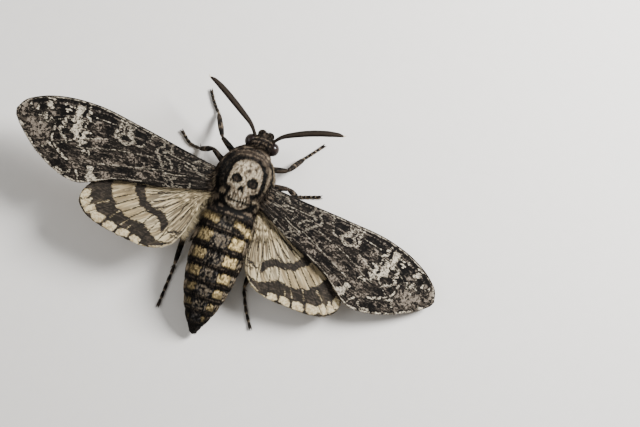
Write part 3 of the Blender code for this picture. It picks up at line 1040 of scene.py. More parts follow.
@dataclass(frozen=True)
class SkullMark:
    """The species' own pale mark on the thorax, drawn on x and y.

    Attributes:
        outline: the mark's edge.
        hollows: its dark eyes, nose and teeth.
        depths: the slightly paler, lower middles of its eyes, a painted highlight inside the hollows.
        cracks: dark lines and spots on its bone.
        cheeks: pale tufts beside its jaw.
        shoulder_lines: lines of the front and of the moth's right shoulder,
            outside the rings round the skull.
        collar_lines: rows of paler fur before the skull.
        tail_spots: lumps of paler fur behind it.
    """

    outline: tuple = (
        (-1.0, -5.0), (-2.6, -4.7), (-3.7, -3.8), (-4.5, -2.8), (-4.9, -1.6), (-5.0, -0.2), (-5.05, 1.2),
        (-4.9, 2.7), (-4.3, 3.3), (-3.3, 3.6), (-3.1, 4.3), (-3.5, 5.1), (-3.9, 6.0), (-3.8, 6.7),
        (-3.1, 7.4), (-2.2, 8.1), (-1.0, 8.4), (0.3, 8.3), (1.5, 7.9), (2.4, 7.2), (2.8, 6.3), (2.5, 5.6),
        (2.3, 4.8), (2.0, 4.0), (2.2, 3.2), (3.0, 2.9), (3.6, 2.6), (3.8, 1.6), (3.6, 0.6), (3.55, -0.8),
        (3.4, -2.0), (2.9, -3.2), (2.0, -4.1), (0.7, -4.8))
    hollows: tuple = (
        oval((1.42, 0.6), (1.55, 1.32)), oval((-2.95, 0.85), (1.55, 1.38)),
        blob((-0.4, 1.85), (-0.05, 2.2), (0.15, 2.9), (0.3, 3.6), (-0.15, 3.75), (-0.45, 3.3),
             (-0.75, 3.85), (-1.25, 3.95), (-1.15, 3.1), (-0.85, 2.3)),
        stroke(0.55, (2.75, 5.65), (1.9, 6.2), (0.6, 6.4), (-0.8, 6.3), (-2.2, 6.35), (-3.3, 6.45),
               (-4.2, 6.25)),
        stroke(0.22, (1.75, 5.4), (1.7, 6.8)), stroke(0.22, (1.0, 5.3), (0.95, 7.0)),
        stroke(0.24, (0.25, 5.2), (0.2, 7.1)), stroke(0.24, (-0.5, 5.2), (-0.5, 7.15)),
        stroke(0.24, (-1.25, 5.2), (-1.25, 7.1)), stroke(0.22, (-2.0, 5.35), (-2.0, 7.0)),
        stroke(0.2, (-2.75, 5.5), (-2.7, 6.9)))
    depths: tuple = (oval((1.42, 0.75), (0.95, 0.75)), oval((-2.95, 1.0), (0.95, 0.8)))
    cracks: tuple = (
        stroke(0.3, (-0.75, -4.5), (-1.05, -3.4), (-0.8, -2.6), (-1.0, -1.8)),
        oval((-0.9, -2.3), (0.4, 0.6)), oval((1.5, -2.7), (0.4, 0.3)), oval((2.0, -1.8), (0.3, 0.45)),
        oval((-0.75, -0.5), (0.34, 0.4)), stroke(0.26, (-2.3, -3.1), (-3.0, -2.4)),
        oval((-3.7, -1.7), (0.3, 0.3)), oval((0.6, -3.6), (0.24, 0.24)), oval((-2.2, -1.6), (0.22, 0.3)),
        stroke(0.26, (0.9, 4.0), (1.3, 5.2)), stroke(0.26, (-2.1, 4.1), (-2.7, 5.2)),
        stroke(0.3, (3.1, 1.2), (2.9, 2.3)), stroke(0.3, (-4.4, 2.2), (-3.4, 3.1)),
        oval((0.9, 7.6), (0.3, 0.2)), oval((-0.7, 7.8), (0.3, 0.2)), oval((-2.0, 7.5), (0.25, 0.2)))
    cheeks: tuple = (oval((4.1, 4.8), (0.85, 0.75)), oval((-4.95, 5.2), (0.95, 0.6)))
    shoulder_lines: tuple = (
        stroke(0.5, (-4.3, -7.2), (-5.6, -6.5), (-6.5, -5.4), (-7.3, -3.9), (-7.9, -2.1), (-8.1, -1.0)),
        stroke(0.34, (-8.0, 0.2), (-8.2, 2.0), (-8.0, 3.6)),
        stroke(0.34, (-5.9, -4.2), (-6.5, -2.4), (-6.6, -0.4), (-6.5, 1.6)))
    collar_lines: tuple = (
        stroke(0.28, (2.6, -7.7), (0.8, -8.3), (-1.2, -8.5), (-2.9, -8.1), (-4.2, -7.4)),
        stroke(0.2, (3.6, -6.3), (1.6, -7.0), (-0.8, -7.3), (-3.1, -6.9), (-4.6, -6.0)),
        stroke(0.2, (3.9, -5.0), (2.4, -5.9), (-0.6, -6.3), (-3.4, -5.9), (-4.9, -4.7)),
        stroke(0.2, (4.3, -6.6), (5.6, -5.4), (6.6, -4.0), (7.0, -2.4)))
    tail_spots: tuple = (
        oval((3.3, 8.6), (0.8, 0.5)), oval((-4.4, 8.7), (1.1, 0.4)), oval((0.2, 10.0), (1.3, 0.3)),
        oval((-2.3, 10.0), (0.9, 0.3)), oval((5.2, 7.0), (0.8, 0.9)), oval((-6.4, 7.4), (0.9, 0.8)))

    def colours(self, at: np.ndarray, noise: np.ndarray, fine: np.ndarray) -> np.ndarray:
        """Colours of the thorax's back.

        Args:
            at: x and y of each place.
            noise: broad noise there.
            fine: fine noise there.

        Returns:
            A colour for each place.
        """
        edge = blob(*self.outline).distance(at) + 0.3 * (fine - 0.5)
        # The pale band round the skull is painted brighter towards the moth's right, the side that the key lamp
        # lights: painted light.
        right = ease(at[:, 0], 1.0, -4.0)
        band = ease(edge, 0.8, 1.05) * ease(edge, 2.5, 2.2) * ease(at[:, 1], 6.5, 3.5)
        tufty = ease(fine + 0.5 * (noise - 0.5), 0.42, 0.62)
        colour = blend_colours(plain(BLACK, len(at)), DUN, band * tufty * (0.2 + 0.45 * right))
        outer = ease(edge, 3.0, 3.3) * ease(edge, 5.0, 4.4)
        colour = blend_colours(colour, BROWN, outer * ease(fine, 0.4, 0.6))
        front = ease(at[:, 1], -4.6, -6.2)
        colour = blend_colours(colour, BROWN, front * ease(fine, 0.42, 0.58))
        # Each set of marks with its tone, how strong it is and the two ends of its edge.
        for marks, tone, strong, start, full in (
                (self.shoulder_lines, BUFF, 0.6, 0.14, -0.1), (self.collar_lines, DUN, 0.95, 0.14, -0.1),
                (self.tail_spots, DUN, 1.0, 0.14, -0.1), (self.cheeks, BUFF, 0.6, 0.1, -0.3)):
            mask = ease(nearest(marks, at) + 0.5 * (fine - 0.5), start, full)
            colour = blend_colours(colour, tone, mask * strong)
        pale = ease(fine + 0.5 * (noise - 0.5), 0.4, 0.8)
        bone = blend_colours(plain(BUFF, len(at)), BONE, pale)
        bone = blend_colours(bone, DUN, ease(fine, 0.42, 0.28) * 0.85)
        inside = ease(edge, 0.08, -0.08)
        colour = blend_colours(colour, bone, inside)
        colour = blend_colours(colour, DUN, inside * ease(edge, -0.9, -0.1) * 0.55)
        crack = nearest(self.cracks, at) + 0.3 * (fine - 0.5)
        colour = blend_colours(colour, UMBER, inside * ease(crack, 0.08, -0.08) * 0.8)
        hollow = nearest(self.hollows, at) + 0.12 * (fine - 0.5)
        colour = blend_colours(colour, BLACK, inside * ease(hollow, 0.1, -0.06))
        # The paler, lower middles of the eye hollows: a painted highlight.
        depth = ease(nearest(self.depths, at), 0.1, -0.3) * ease(fine, 0.3, 0.6)
        return blend_colours(colour, BROWN, inside * depth)


@dataclass(frozen=True)
class BandMarks:
    """Pale patches, dark rings and the grey stripe of the abdomen.

    Attributes:
        patches: for each ring of the abdomen, the inner and outer edge of its pale
        patches, how bright they are on the left and on the right, the left ones
        dimmer as painted shade, and where they start and end as shares of its length.
        middle: x of the grey stripe.
        first: slanting patches behind the waist, on the left and on the right.
    """

    patches: tuple = (
        (2.3, 2.3, 0.0, 0.0, 0.3, 0.7), (2.65, 6.2, 0.55, 1.0, 0.13, 0.72), (2.75, 6.0, 0.5, 1.0, 0.15, 0.72),
        (2.75, 5.6, 0.48, 1.0, 0.18, 0.72), (2.65, 4.9, 0.4, 0.85, 0.2, 0.7),
        (2.3, 3.8, 0.3, 0.7, 0.26, 0.68), (1.6, 2.4, 0.15, 0.25, 0.3, 0.7), (0.0, 0.0, 0.0, 0.0, 0.3, 0.6))
    middle: float = 0.25
    first: tuple = (
        stroke(1.9, (3.1, 12.5), (4.6, 12.4), (6.4, 12.3)),
        stroke(1.5, (-2.5, 12.3), (-4.2, 12.7), (-5.6, 13.4), (-6.5, 14.1)))

    def colours(self, at: np.ndarray, number: np.ndarray, share: np.ndarray, noise: np.ndarray,
                fine: np.ndarray) -> np.ndarray:
        """Colours of the abdomen's back.

        Args:
            at: x and y of each place.
            number: which ring each place lies in, from 0.
            share: how far through that ring it lies.
            noise: broad noise there.
            fine: fine noise there.

        Returns:
            A colour for each place.
        """
        rows = np.array(self.patches)[np.clip(number, 0, len(self.patches) - 1)]
        across = np.abs(at[:, 0] - self.middle) + 0.7 * (fine - 0.5)
        colour = blend_colours(plain(BLACK, len(at)), UMBER, ease(fine, 0.4, 0.6))
        middle = ease(across, rows[:, 0] - 0.05, rows[:, 0] - 0.4)
        body = ease(share, 0.06, 0.14) * ease(share, 0.86, 0.76)
        body = np.where(number == 0, ease(at[:, 1], 10.8, 11.6) * ease(share, 0.86, 0.76), body)
        colour = blend_colours(colour, SLATE, middle * body * ease(fine, 0.3, 0.55))
        centre = 0.16 * ease(across, 1.4, 0.2) * ease(np.abs(share - 0.42), 0.3, 0.05)
        spots = middle * body * ease(fine + 0.2 * (noise - 0.5) + centre, 0.56, 0.7)
        tail = ease(at[:, 1], 40.0, 36.5)
        colour = blend_colours(colour, BUFF, spots * 0.5 * tail)
        along = share + 0.12 * (fine - 0.5)
        patch = ease(across, rows[:, 0] - 0.12, rows[:, 0] + 0.12)
        for where, start, full in ((across, rows[:, 1] + 0.25, rows[:, 1] - 0.25),
                                   (along, rows[:, 4] - 0.03, rows[:, 4] + 0.05),
                                   (along, rows[:, 5] + 0.04, rows[:, 5] - 0.05)):
            patch = patch * ease(where, start, full)
        # The patches on the moth's left, away from the key lamp, are dimmer than on its right, and so are the first
        # slanting ones: painted shade.
        bright = np.where(at[:, 0] > 0, rows[:, 2], rows[:, 3])
        straw = np.array(STRAW) * (0.3 + 0.95 * ease(fine, 0.25, 0.7))[:, None]
        first = ease(nearest(self.first, at) + 0.9 * (fine - 0.5), 0.12, -0.12) * (number == 0)
        patch = np.maximum(patch * bright, first * np.where(at[:, 0] > 0, 0.75, 1.0))
        colour = blend_colours(colour, straw, patch)
        edge = np.where(number == 0, 6.6, rows[:, 1])
        flank = ease(across, edge + 0.25, edge + 0.55) * ease(share, 0.12, 0.25) * ease(share, 0.9, 0.75)
        colour = blend_colours(colour, BUFF, flank * ease(fine, 0.44, 0.56) * 0.8 * tail)
        line = ease(np.abs(share - 0.9), 0.04, 0.012) * ease(across, 5.8, 4.8)
        return blend_colours(colour, DUN, line * ease(fine, 0.3, 0.5))


@dataclass(frozen=True)
class Trunk:
    """Head, collar, thorax and abdomen under one skin.

    Attributes:
        rows: y, middle x, half width, underside and back of the skin, which lies
            inside the solids by the depth of the coat.
        seams: where the rings of the abdomen meet.
        waist, tail: where the abdomen begins and ends.
        seam_step: how far each ring steps in under the one before it.
        last_step: y behind which the rings have no step.
        shoulder: height, y, reach along y, angle and spread in degrees of the two
            lobes on the thorax's shoulders.
        oval: exponent of the section, squarer below 1.
        crowd: how much closer the mesh's rings lie at both ends, where the skin
            turns in.
        rings, sides: rings of the mesh and corners of each.
        skull: the mark on the thorax.
        bands: the marks on the abdomen.
    """

    rows: tuple = (
        (-12.75, -1.69, 0.0, 10.6, 10.6), (-12.6, -1.68, 1.1, 9.6, 11.7), (-12.1, -1.65, 1.95, 8.9, 12.7),
        (-11.3, -1.58, 2.75, 8.4, 13.5), (-10.3, -1.5, 3.3, 8.2, 14.15), (-9.3, -1.34, 3.6, 8.1, 14.35),
        (-8.5, -0.95, 3.85, 7.9, 14.0), (-7.8, -0.45, 4.2, 7.3, 14.05), (-7.0, -0.1, 4.8, 6.4, 14.5),
        (-5.6, 0.0, 5.9, 5.4, 15.35), (-3.1, 0.0, 7.3, 4.3, 16.1), (-0.4, 0.0, 8.0, 3.8, 16.6),
        (2.4, 0.0, 7.8, 3.7, 16.7), (4.8, 0.0, 7.3, 4.0, 16.3), (6.9, 0.0, 6.6, 4.5, 15.7),
        (8.9, 0.0, 6.3, 4.7, 15.1), (10.6, 0.05, 6.85, 4.1, 15.5), (13.3, 0.1, 7.1, 3.5, 15.4),
        (16.0, 0.17, 7.2, 3.0, 15.25), (21.5, 0.27, 7.4, 2.25, 14.55), (26.5, 0.28, 6.95, 1.75, 13.25),
        (32.0, 0.25, 5.95, 1.35, 10.95), (38.0, 0.17, 4.05, 1.15, 7.7), (43.2, 0.05, 1.4, 1.15, 3.9),
        (44.6, 0.0, 0.5, 1.4, 2.5), (44.9, 0.0, 0.0, 2.0, 2.0))
    seams: tuple = (15.1, 20.2, 25.1, 29.7, 34.0, 37.9, 41.3)
    waist: float = 9.1
    tail: float = 45.1
    seam_step: float = 0.34
    last_step: float = 44.0
    shoulder: tuple = (0.75, -0.6, 5.2, 38.0, 15.0)
    oval: float = 0.94
    crowd: float = 0.07
    rings: int = 330
    sides: int = 132
    skull: SkullMark = SkullMark()
    bands: BandMarks = BandMarks()

    def ring_of(self, y: np.ndarray) -> tuple:
        """Find the rings of the abdomen.

        Args:
            y: where along the body.

        Returns:
            Which ring each y lies in, and how far through it.
        """
        edges = np.array([self.waist, *self.seams, self.tail])
        number = np.clip(np.searchsorted(edges, y, side="right") - 1, 0, len(edges) - 2)
        share = (y - edges[number]) / (edges[number + 1] - edges[number])
        return number, np.clip(share, 0.0, 1.0)

    def points(self, y: np.ndarray, around: np.ndarray) -> np.ndarray:
        """Points of the skin.

        Args:
            y: where along the body.
            around: angles around it, counted from the left side up.

        Returns:
            One point for each y and angle.
        """
        rows = rows_at(self.rows, y)
        half, under, back = np.maximum(rows[:, 2], 0.0), rows[:, 3], rows[:, 4]
        _, share = self.ring_of(y)
        step = self.seam_step * (1.0 - share - 0.55 * np.sin(math.pi * share))
        stepped = (y > self.seams[0]) & (y < self.last_step)
        step = np.where(stepped, np.maximum(step, -0.05), 0.0)
        rise, middle, reach, angle, spread = self.shoulder
        turn = np.degrees(around) % 360.0
        off = np.minimum(np.abs(turn - angle), np.abs(turn - (180.0 - angle)))
        lobe = rise * np.maximum(0.0, 1.0 - ((y - middle) / reach) ** 2) * np.exp(-((off / spread) ** 2))
        grow = lobe - step
        across = np.sign(np.cos(around)) * np.abs(np.cos(around)) ** self.oval
        above = np.sign(np.sin(around)) * np.abs(np.sin(around)) ** self.oval
        tall = np.maximum((back - under) / 2, 0.0)
        thin = np.clip(half / 0.5, 0.0, 1.0)
        x = rows[:, 1] + (half + grow * thin) * across
        z = (back + under) / 2 + (tall + grow * thin) * above
        return np.column_stack([x, y, z])

    def frame_at(self, y: np.ndarray, around: np.ndarray) -> tuple:
        """Points of the skin with their directions.

        Args:
            y: where along the body.
            around: angles around it, counted from the left side up.

        Returns:
            Points, outward directions and directions towards the tail.
        """
        step_y, step_turn = 0.12, 0.03
        here = self.points(y, around)
        rear = unit(self.points(y + step_y, around) - self.points(y - step_y, around))
        turning = self.points(y, around + step_turn) - self.points(y, around - step_turn)
        return here, unit(np.cross(rear, turning)), rear

    def colours(self, points: np.ndarray) -> np.ndarray:
        """The trunk's markings.

        Args:
            points: places on or near its skin.

        Returns:
            A colour for each place.
        """
        noise = ripple(points, 1.3, 1.0)
        fine = ripple(points * np.array((1.0, 0.5, 1.0)), 0.34, 2.0)
        fine = np.clip(0.5 + 1.5 * (fine - 0.5), 0.0, 1.0)
        flat = points[:, :2]
        y = points[:, 1]
        under, back = rows_at(self.rows, y)[:, 3:5].T
        # 1 at the back, -1 at the underside.
        height = (points[:, 2] - (under + back) / 2) / np.maximum(back - under, 0.5) * 2
        number, share = self.ring_of(y)
        abdomen = self.bands.colours(flat, number, share, noise, fine)
        lower = np.where(share[:, None] < 0.72, np.array(STRAW) * 0.5, np.array(UMBER))
        lower = lower * (0.5 + 0.7 * fine)[:, None]
        abdomen = blend_colours(abdomen, lower, ease(height, -0.05, -0.35))
        belly = blend_colours(plain(BROWN, len(y)), DUN, 0.5 * ease(noise, 0.3, 0.7))
        thorax = blend_colours(self.skull.colours(flat, noise, fine), belly, ease(height, 0.05, -0.45))
        colour = blend_colours(thorax, abdomen, ease(y, 9.6, 11.0))
        return blend_colours(colour, self.head_colours(points, fine, height), ease(y, -8.3, -8.9))

    def head_colours(self, points: np.ndarray, fine: np.ndarray, height: np.ndarray) -> np.ndarray:
        """Dark fur of the head in rows with pale tips, browner below.

        Args:
            points: places on or near the head.
            fine: fine noise there.
            height: 1 at the back and -1 at the underside.

        Returns:
            A colour for each place.
        """
        colour = blend_colours(plain(BLACK, len(points)), UMBER, ease(fine, 0.4, 0.6))
        bow = points[:, 1] - 0.07 * (points[:, 0] + 1.5) ** 2
        row = 0.5 + 0.5 * np.cos((bow + 9.1) * 2 * math.pi / 1.2)
        pale = ease(row + 0.7 * (fine - 0.5), 0.7, 0.95) * ease(np.abs(points[:, 0] + 1.5), 3.0, 2.2)
        colour = blend_colours(colour, DUN, pale * 0.95)
        return blend_colours(colour, BROWN, ease(height, 0.1, -0.4))

    def dress(self, look: Material) -> Object:
        """Make the skin with its markings.

        Args:
            look: the material.

        Returns:
            The skin.
        """
        mesh, share, around = sleeve("trunk_skin", self.rings, self.sides)
        first, last = self.rows[0][0], self.rows[-1][0]
        place = share - self.crowd * np.sin(2 * math.pi * share) / (2 * math.pi)
        points = self.points(first + (last - first) * place, around)
        store_colours(mesh, self.colours(points) * 0.75)
        place_vertices(mesh, points)
        skin = add_piece("trunk_skin", mesh, look)
        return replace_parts(skin, "head", "collar", "thorax", "abdomen")


@dataclass(frozen=True)
class Fur:
    """How one kind of coat grows: lengths in millimetres and angles in degrees.

    Attributes:
        length: a tuft's mean length.
        width: its width at its thickest.
        lift: how far it stands from the skin at its root.
        spread: how far tufts turn from side to side.
        spacing: how far apart the roots are.
        tip_shade: how much paler the tip is than the root.
        vary: how much a tuft's length differs from the mean.
        flat: a tuft's thickness over its width.
        sunk: how deep its root lies under the skin.
    """

    length: float
    width: float
    lift: float
    spread: float
    spacing: float
    tip_shade: float = 1.3
    vary: float = 0.25
    flat: float = 0.4
    sunk: float = 0.12


@dataclass
class Roots:
    """Where tufts grow.

    Attributes:
        places: the roots' places.
        out: directions away from the skin.
        lie: directions in which the tufts lie.
        chart: the roots' places on the baking map.
    """

    places: np.ndarray
    out: np.ndarray
    lie: np.ndarray
    chart: np.ndarray

    def keep(self, wanted: np.ndarray) -> "Roots":
        """Only the roots that are wanted."""
        return Roots(self.places[wanted], self.out[wanted], self.lie[wanted], self.chart[wanted])


def join_roots(groups: list) -> Roots:
    """Several sets of roots as one."""
    names = ("places", "out", "lie", "chart")
    return Roots(*[np.concatenate([getattr(group, name) for group in groups]) for name in names])


class Coat:
    """Makes coats of solid tufts over a surface.

    Attributes:
        look: the material of every coat.
        share: each of a tuft's vertices as a share of its length.
        cross: the vertices' places across it, for a width of 2.
        faces: its faces.
    """

    def __init__(self, look: Material) -> None:
        """Build the tuft that every coat repeats.

        Args:
            look: the material.
        """
        self.look = look
        build = bmesh.new()
        bmesh.ops.create_cone(build, cap_ends=True, cap_tris=False, segments=3, radius1=1.0,
                              radius2=0.0, depth=2.0)
        bmesh.ops.remove_doubles(build, verts=build.verts, dist=0.001)
        bmesh.ops.bisect_plane(build, geom=build.verts[:] + build.edges[:] + build.faces[:],
                               plane_co=(0, 0, 0), plane_no=(0, 0, 1))
        bmesh.ops.recalc_face_normals(build, faces=build.faces)
        bmesh.ops.triangulate(build, faces=build.faces)
        build.verts.ensure_lookup_table()
        build.verts.index_update()
        spots = np.array([v.co[:] for v in build.verts])
        self.share = (spots[:, 2] + 1.0) / 2
        ring = np.where(self.share < 0.25, 0.55, np.where(self.share < 0.75, 2.0, 0.0))
        self.cross = spots[:, :2] * ring[:, None]
        self.faces = np.array([[v.index for v in f.verts] for f in build.faces])
        build.free()

    def grow(self, name: str, roots: Roots, fur: Fur, seed: int) -> tuple:
        """Make the mesh of one coat.

        Args:
            name: the mesh's name.
            roots: where the tufts grow.
            fur: how they grow.
            seed: start of the random draw.

        Returns:
            The mesh, each vertex's place in millimetres, its share along its tuft,
            and a random shade for its tuft.
        """
        draw = np.random.default_rng(SEED + seed)
        count = len(roots.places)
        patchy = 0.7 + 0.6 * ripple(roots.places, 1.1, seed)
        length = fur.length * (1 + fur.vary * draw.uniform(-1, 1, count)) * patchy
        width = fur.width * draw.uniform(0.75, 1.25, count)
        lift = np.radians(fur.lift * draw.uniform(0.5, 1.5, count))
        clump = ripple(roots.places, 0.9, seed + 5.0) - 0.5
        turn = np.radians(fur.spread * (draw.normal(0, 0.5, count) + 2.2 * clump))
        side = unit(np.cross(roots.out, roots.lie))
        lie = roots.lie * np.cos(turn)[:, None] + side * np.sin(turn)[:, None]
        side = unit(np.cross(roots.out, lie))
        share = self.share[None, :]
        tilt = lift[:, None] * (1 - 0.5 * share)
        ahead = (length[:, None] * share * np.cos(tilt))[..., None] * lie[:, None, :]
        rise = (length[:, None] * share * np.sin(tilt))[..., None] * roots.out[:, None, :]
        wide = (width[:, None] * self.cross[None, :, 0] / 2)[..., None] * side[:, None, :]
        thick = (width[:, None] * fur.flat * self.cross[None, :, 1] / 2)[..., None] * roots.out[:, None, :]
        sunk = roots.places - fur.sunk * roots.out
        points = (sunk[:, None, :] + ahead + rise + wide + thick).reshape(-1, 3)
        mesh = bpy.data.meshes.new(name)
        self.fill(mesh, points, count)
        self.chart(mesh, roots.chart)
        shade = np.repeat(draw.uniform(0.78, 1.22, count), len(self.share))
        return mesh, points, np.tile(self.share, count), shade

    def fill(self, mesh: Mesh, points: np.ndarray, count: int) -> None:
        """Repeat the tuft's faces over all tufts.

        Args:
            mesh: the coat's mesh, still empty.
            points: the place of each vertex, in millimetres.
            count: how many tufts there are.
        """
        corners = len(self.share)
        faces = (self.faces[None] + (np.arange(count) * corners)[:, None, None]).reshape(-1, 3)
        mesh.vertices.add(len(points))
        mesh.vertices.foreach_set("co", to_frame(points).ravel())
        mesh.loops.add(faces.size)
        mesh.loops.foreach_set("vertex_index", faces.ravel().astype(np.int32))
        mesh.polygons.add(len(faces))
        mesh.polygons.foreach_set("loop_start", np.arange(0, faces.size, 3, dtype=np.int32))
        mesh.update(calc_edges=True)

    def chart(self, mesh: Mesh, chart: np.ndarray) -> None:
        """Give each tuft a small patch at its root's place on the baking map.

        Args:
            mesh: the coat's mesh.
            chart: the roots' places on the map.
        """
        offsets = np.column_stack([self.cross[:, 0] / 4, self.share - 0.5]) * PATCH
        spots = (np.clip(chart, 0.002, 0.998)[:, None, :] + offsets[None]).reshape(-1, 2)
        layer = mesh.uv_layers.new(name=BAKE_MAP)
        order = np.empty(len(mesh.loops), dtype=np.int32)
        mesh.loops.foreach_get("vertex_index", order)
        layer.data.foreach_set("uv", spots[order].astype(np.float32).ravel())

    def dress(self, name: str, roots: Roots, fur: Fur, seed: int, colours: Colouring, slot: Slot) -> Object:
        """Grow a coat, colour it place by place and make it a piece.

        Args:
            name: the piece's name.
            roots: where the tufts grow.
            fur: how they grow.
            seed: start of the random draw.
            colours: the coat's markings.
            slot: not used.

        Returns:
            The piece.
        """
        mesh, points, share, shade = self.grow(name, roots, fur, seed)
        tone = shade * (1.0 + (fur.tip_shade - 1.0) * share) * (0.55 + 0.45 * ease(share, 0.0, 0.5))
        store_colours(mesh, colours(points) * tone[:, None])
        return add_piece(name, mesh, self.look)

    def dress_by_root(self, name: str, roots: Roots, fur: Fur, seed: int, tones: np.ndarray, paler: float) -> Object:
        """Grow a coat whose tufts have one colour each, and make it a piece.

        Args:
            name: the piece's name.
            roots: where the tufts grow.
            fur: how they grow.
            seed: start of the random draw.
            tones: each tuft's colour.
            paler: how much its tip is paler than its root.

        Returns:
            The piece.
        """
        mesh, _, share, shade = self.grow(name, roots, fur, seed)
        tone = shade * (1.0 + paler * share)
        store_colours(mesh, np.repeat(tones, len(self.share), axis=0) * tone[:, None])
        return add_piece(name, mesh, self.look)


def trunk_roots(trunk: Trunk, y_range: tuple, turns: tuple, spacing: float, seed: int) -> Roots:
    """Evenly scattered roots over a part of the trunk.

    Args:
        trunk: the trunk.
        y_range: first and last y.
        turns: first and last angle in degrees, counted from the left side up.
        spacing: distance between roots.
        seed: start of the random draw.

    Returns:
        The roots, which lie towards the tail.
    """
    draw = np.random.default_rng(SEED + seed)
    low, high = np.radians(turns[0]), np.radians(turns[1])
    angles = np.linspace(low, high, 61)
    all_y, all_turns = [], []
    for y in np.arange(y_range[0], y_range[1], spacing):
        line = trunk.points(np.full(len(angles), y), angles)
        reach = np.concatenate([[0.0], np.cumsum(np.linalg.norm(np.diff(line, axis=0), axis=1))])
        count = max(3, int(reach[-1] / spacing))
        spots = (np.arange(count) + draw.uniform(0, 1, count)) / count * reach[-1]
        all_turns.append(np.interp(spots, reach, angles))
        all_y.append(y + spacing * draw.uniform(-0.5, 0.5, count))
    y = np.concatenate(all_y)
    around = np.concatenate(all_turns)
    here, out, rear = trunk.frame_at(y, around)
    first, last = trunk.rows[0][0], trunk.rows[-1][0]
    chart = np.column_stack([(around / (2 * math.pi)) % 1.0, (y - first) / (last - first)])
    return Roots(here, out, rear, chart)


@dataclass(frozen=True)
class WingMarks:
    """A wing's markings, in millimetres out from and forward of its hinge.

    Attributes:
        pale: the brightest marks.
        grey: mottled grey patches.
        dark: the darkest blocks.
        line: thin lines, pale on the forewing and dark on the hindwing.
    """

    pale: tuple
    grey: tuple
    dark: tuple
    line: tuple


FORE_LEADING = ((-3.0, 1.5), (9.0, 2.6), (23.0, 4.1), (36.0, 4.9), (44.2, 3.7), (50.2, 1.4), (53.6, -1.1),
                (54.9, -3.8))
FORE_OUTER = ((54.9, -3.8), (54.6, -5.0), (53.1, -6.9), (50.0, -9.6), (45.3, -12.7), (40.2, -15.0),
              (36.9, -15.9), (34.2, -16.1))
FORE_TRAILING = ((-3.0, -3.6), (4.2, -5.9), (12.0, -8.5), (20.0, -10.4), (25.6, -12.1), (30.0, -14.5),
                 (32.1, -15.6), (34.2, -16.1))
HIND_LEADING = ((-2.0, 0.6), (9.0, 1.1), (19.0, -0.6), (26.8, -4.6), (31.3, -10.0))
HIND_OUTER = ((31.3, -10.0), (33.1, -13.6), (33.1, -15.9), (31.2, -18.2), (27.0, -20.1), (21.8, -21.0),
              (17.6, -21.6), (14.2, -21.9))
HIND_TRAILING = ((-2.0, -2.4), (1.9, -5.0), (3.0, -9.0), (3.7, -12.6), (4.9, -16.2), (6.9, -19.1),
                 (10.2, -21.1), (14.2, -21.9))


def inside_edge(points: tuple, inset: float, start: float, end: float) -> tuple:
    """Points that follow a leading edge inside it.

    Args:
        points: points of the leading edge.
        inset: distance from the edge.
        start, end: shares of the edge's length between which they lie.

    Returns:
        The points.
    """
    line = curve_at(points, np.linspace(start, end, 14))
    way = unit(np.gradient(line, axis=0))
    inward = np.column_stack([way[:, 1], -way[:, 0]])
    return tuple(tuple(p) for p in line + inward * inset)


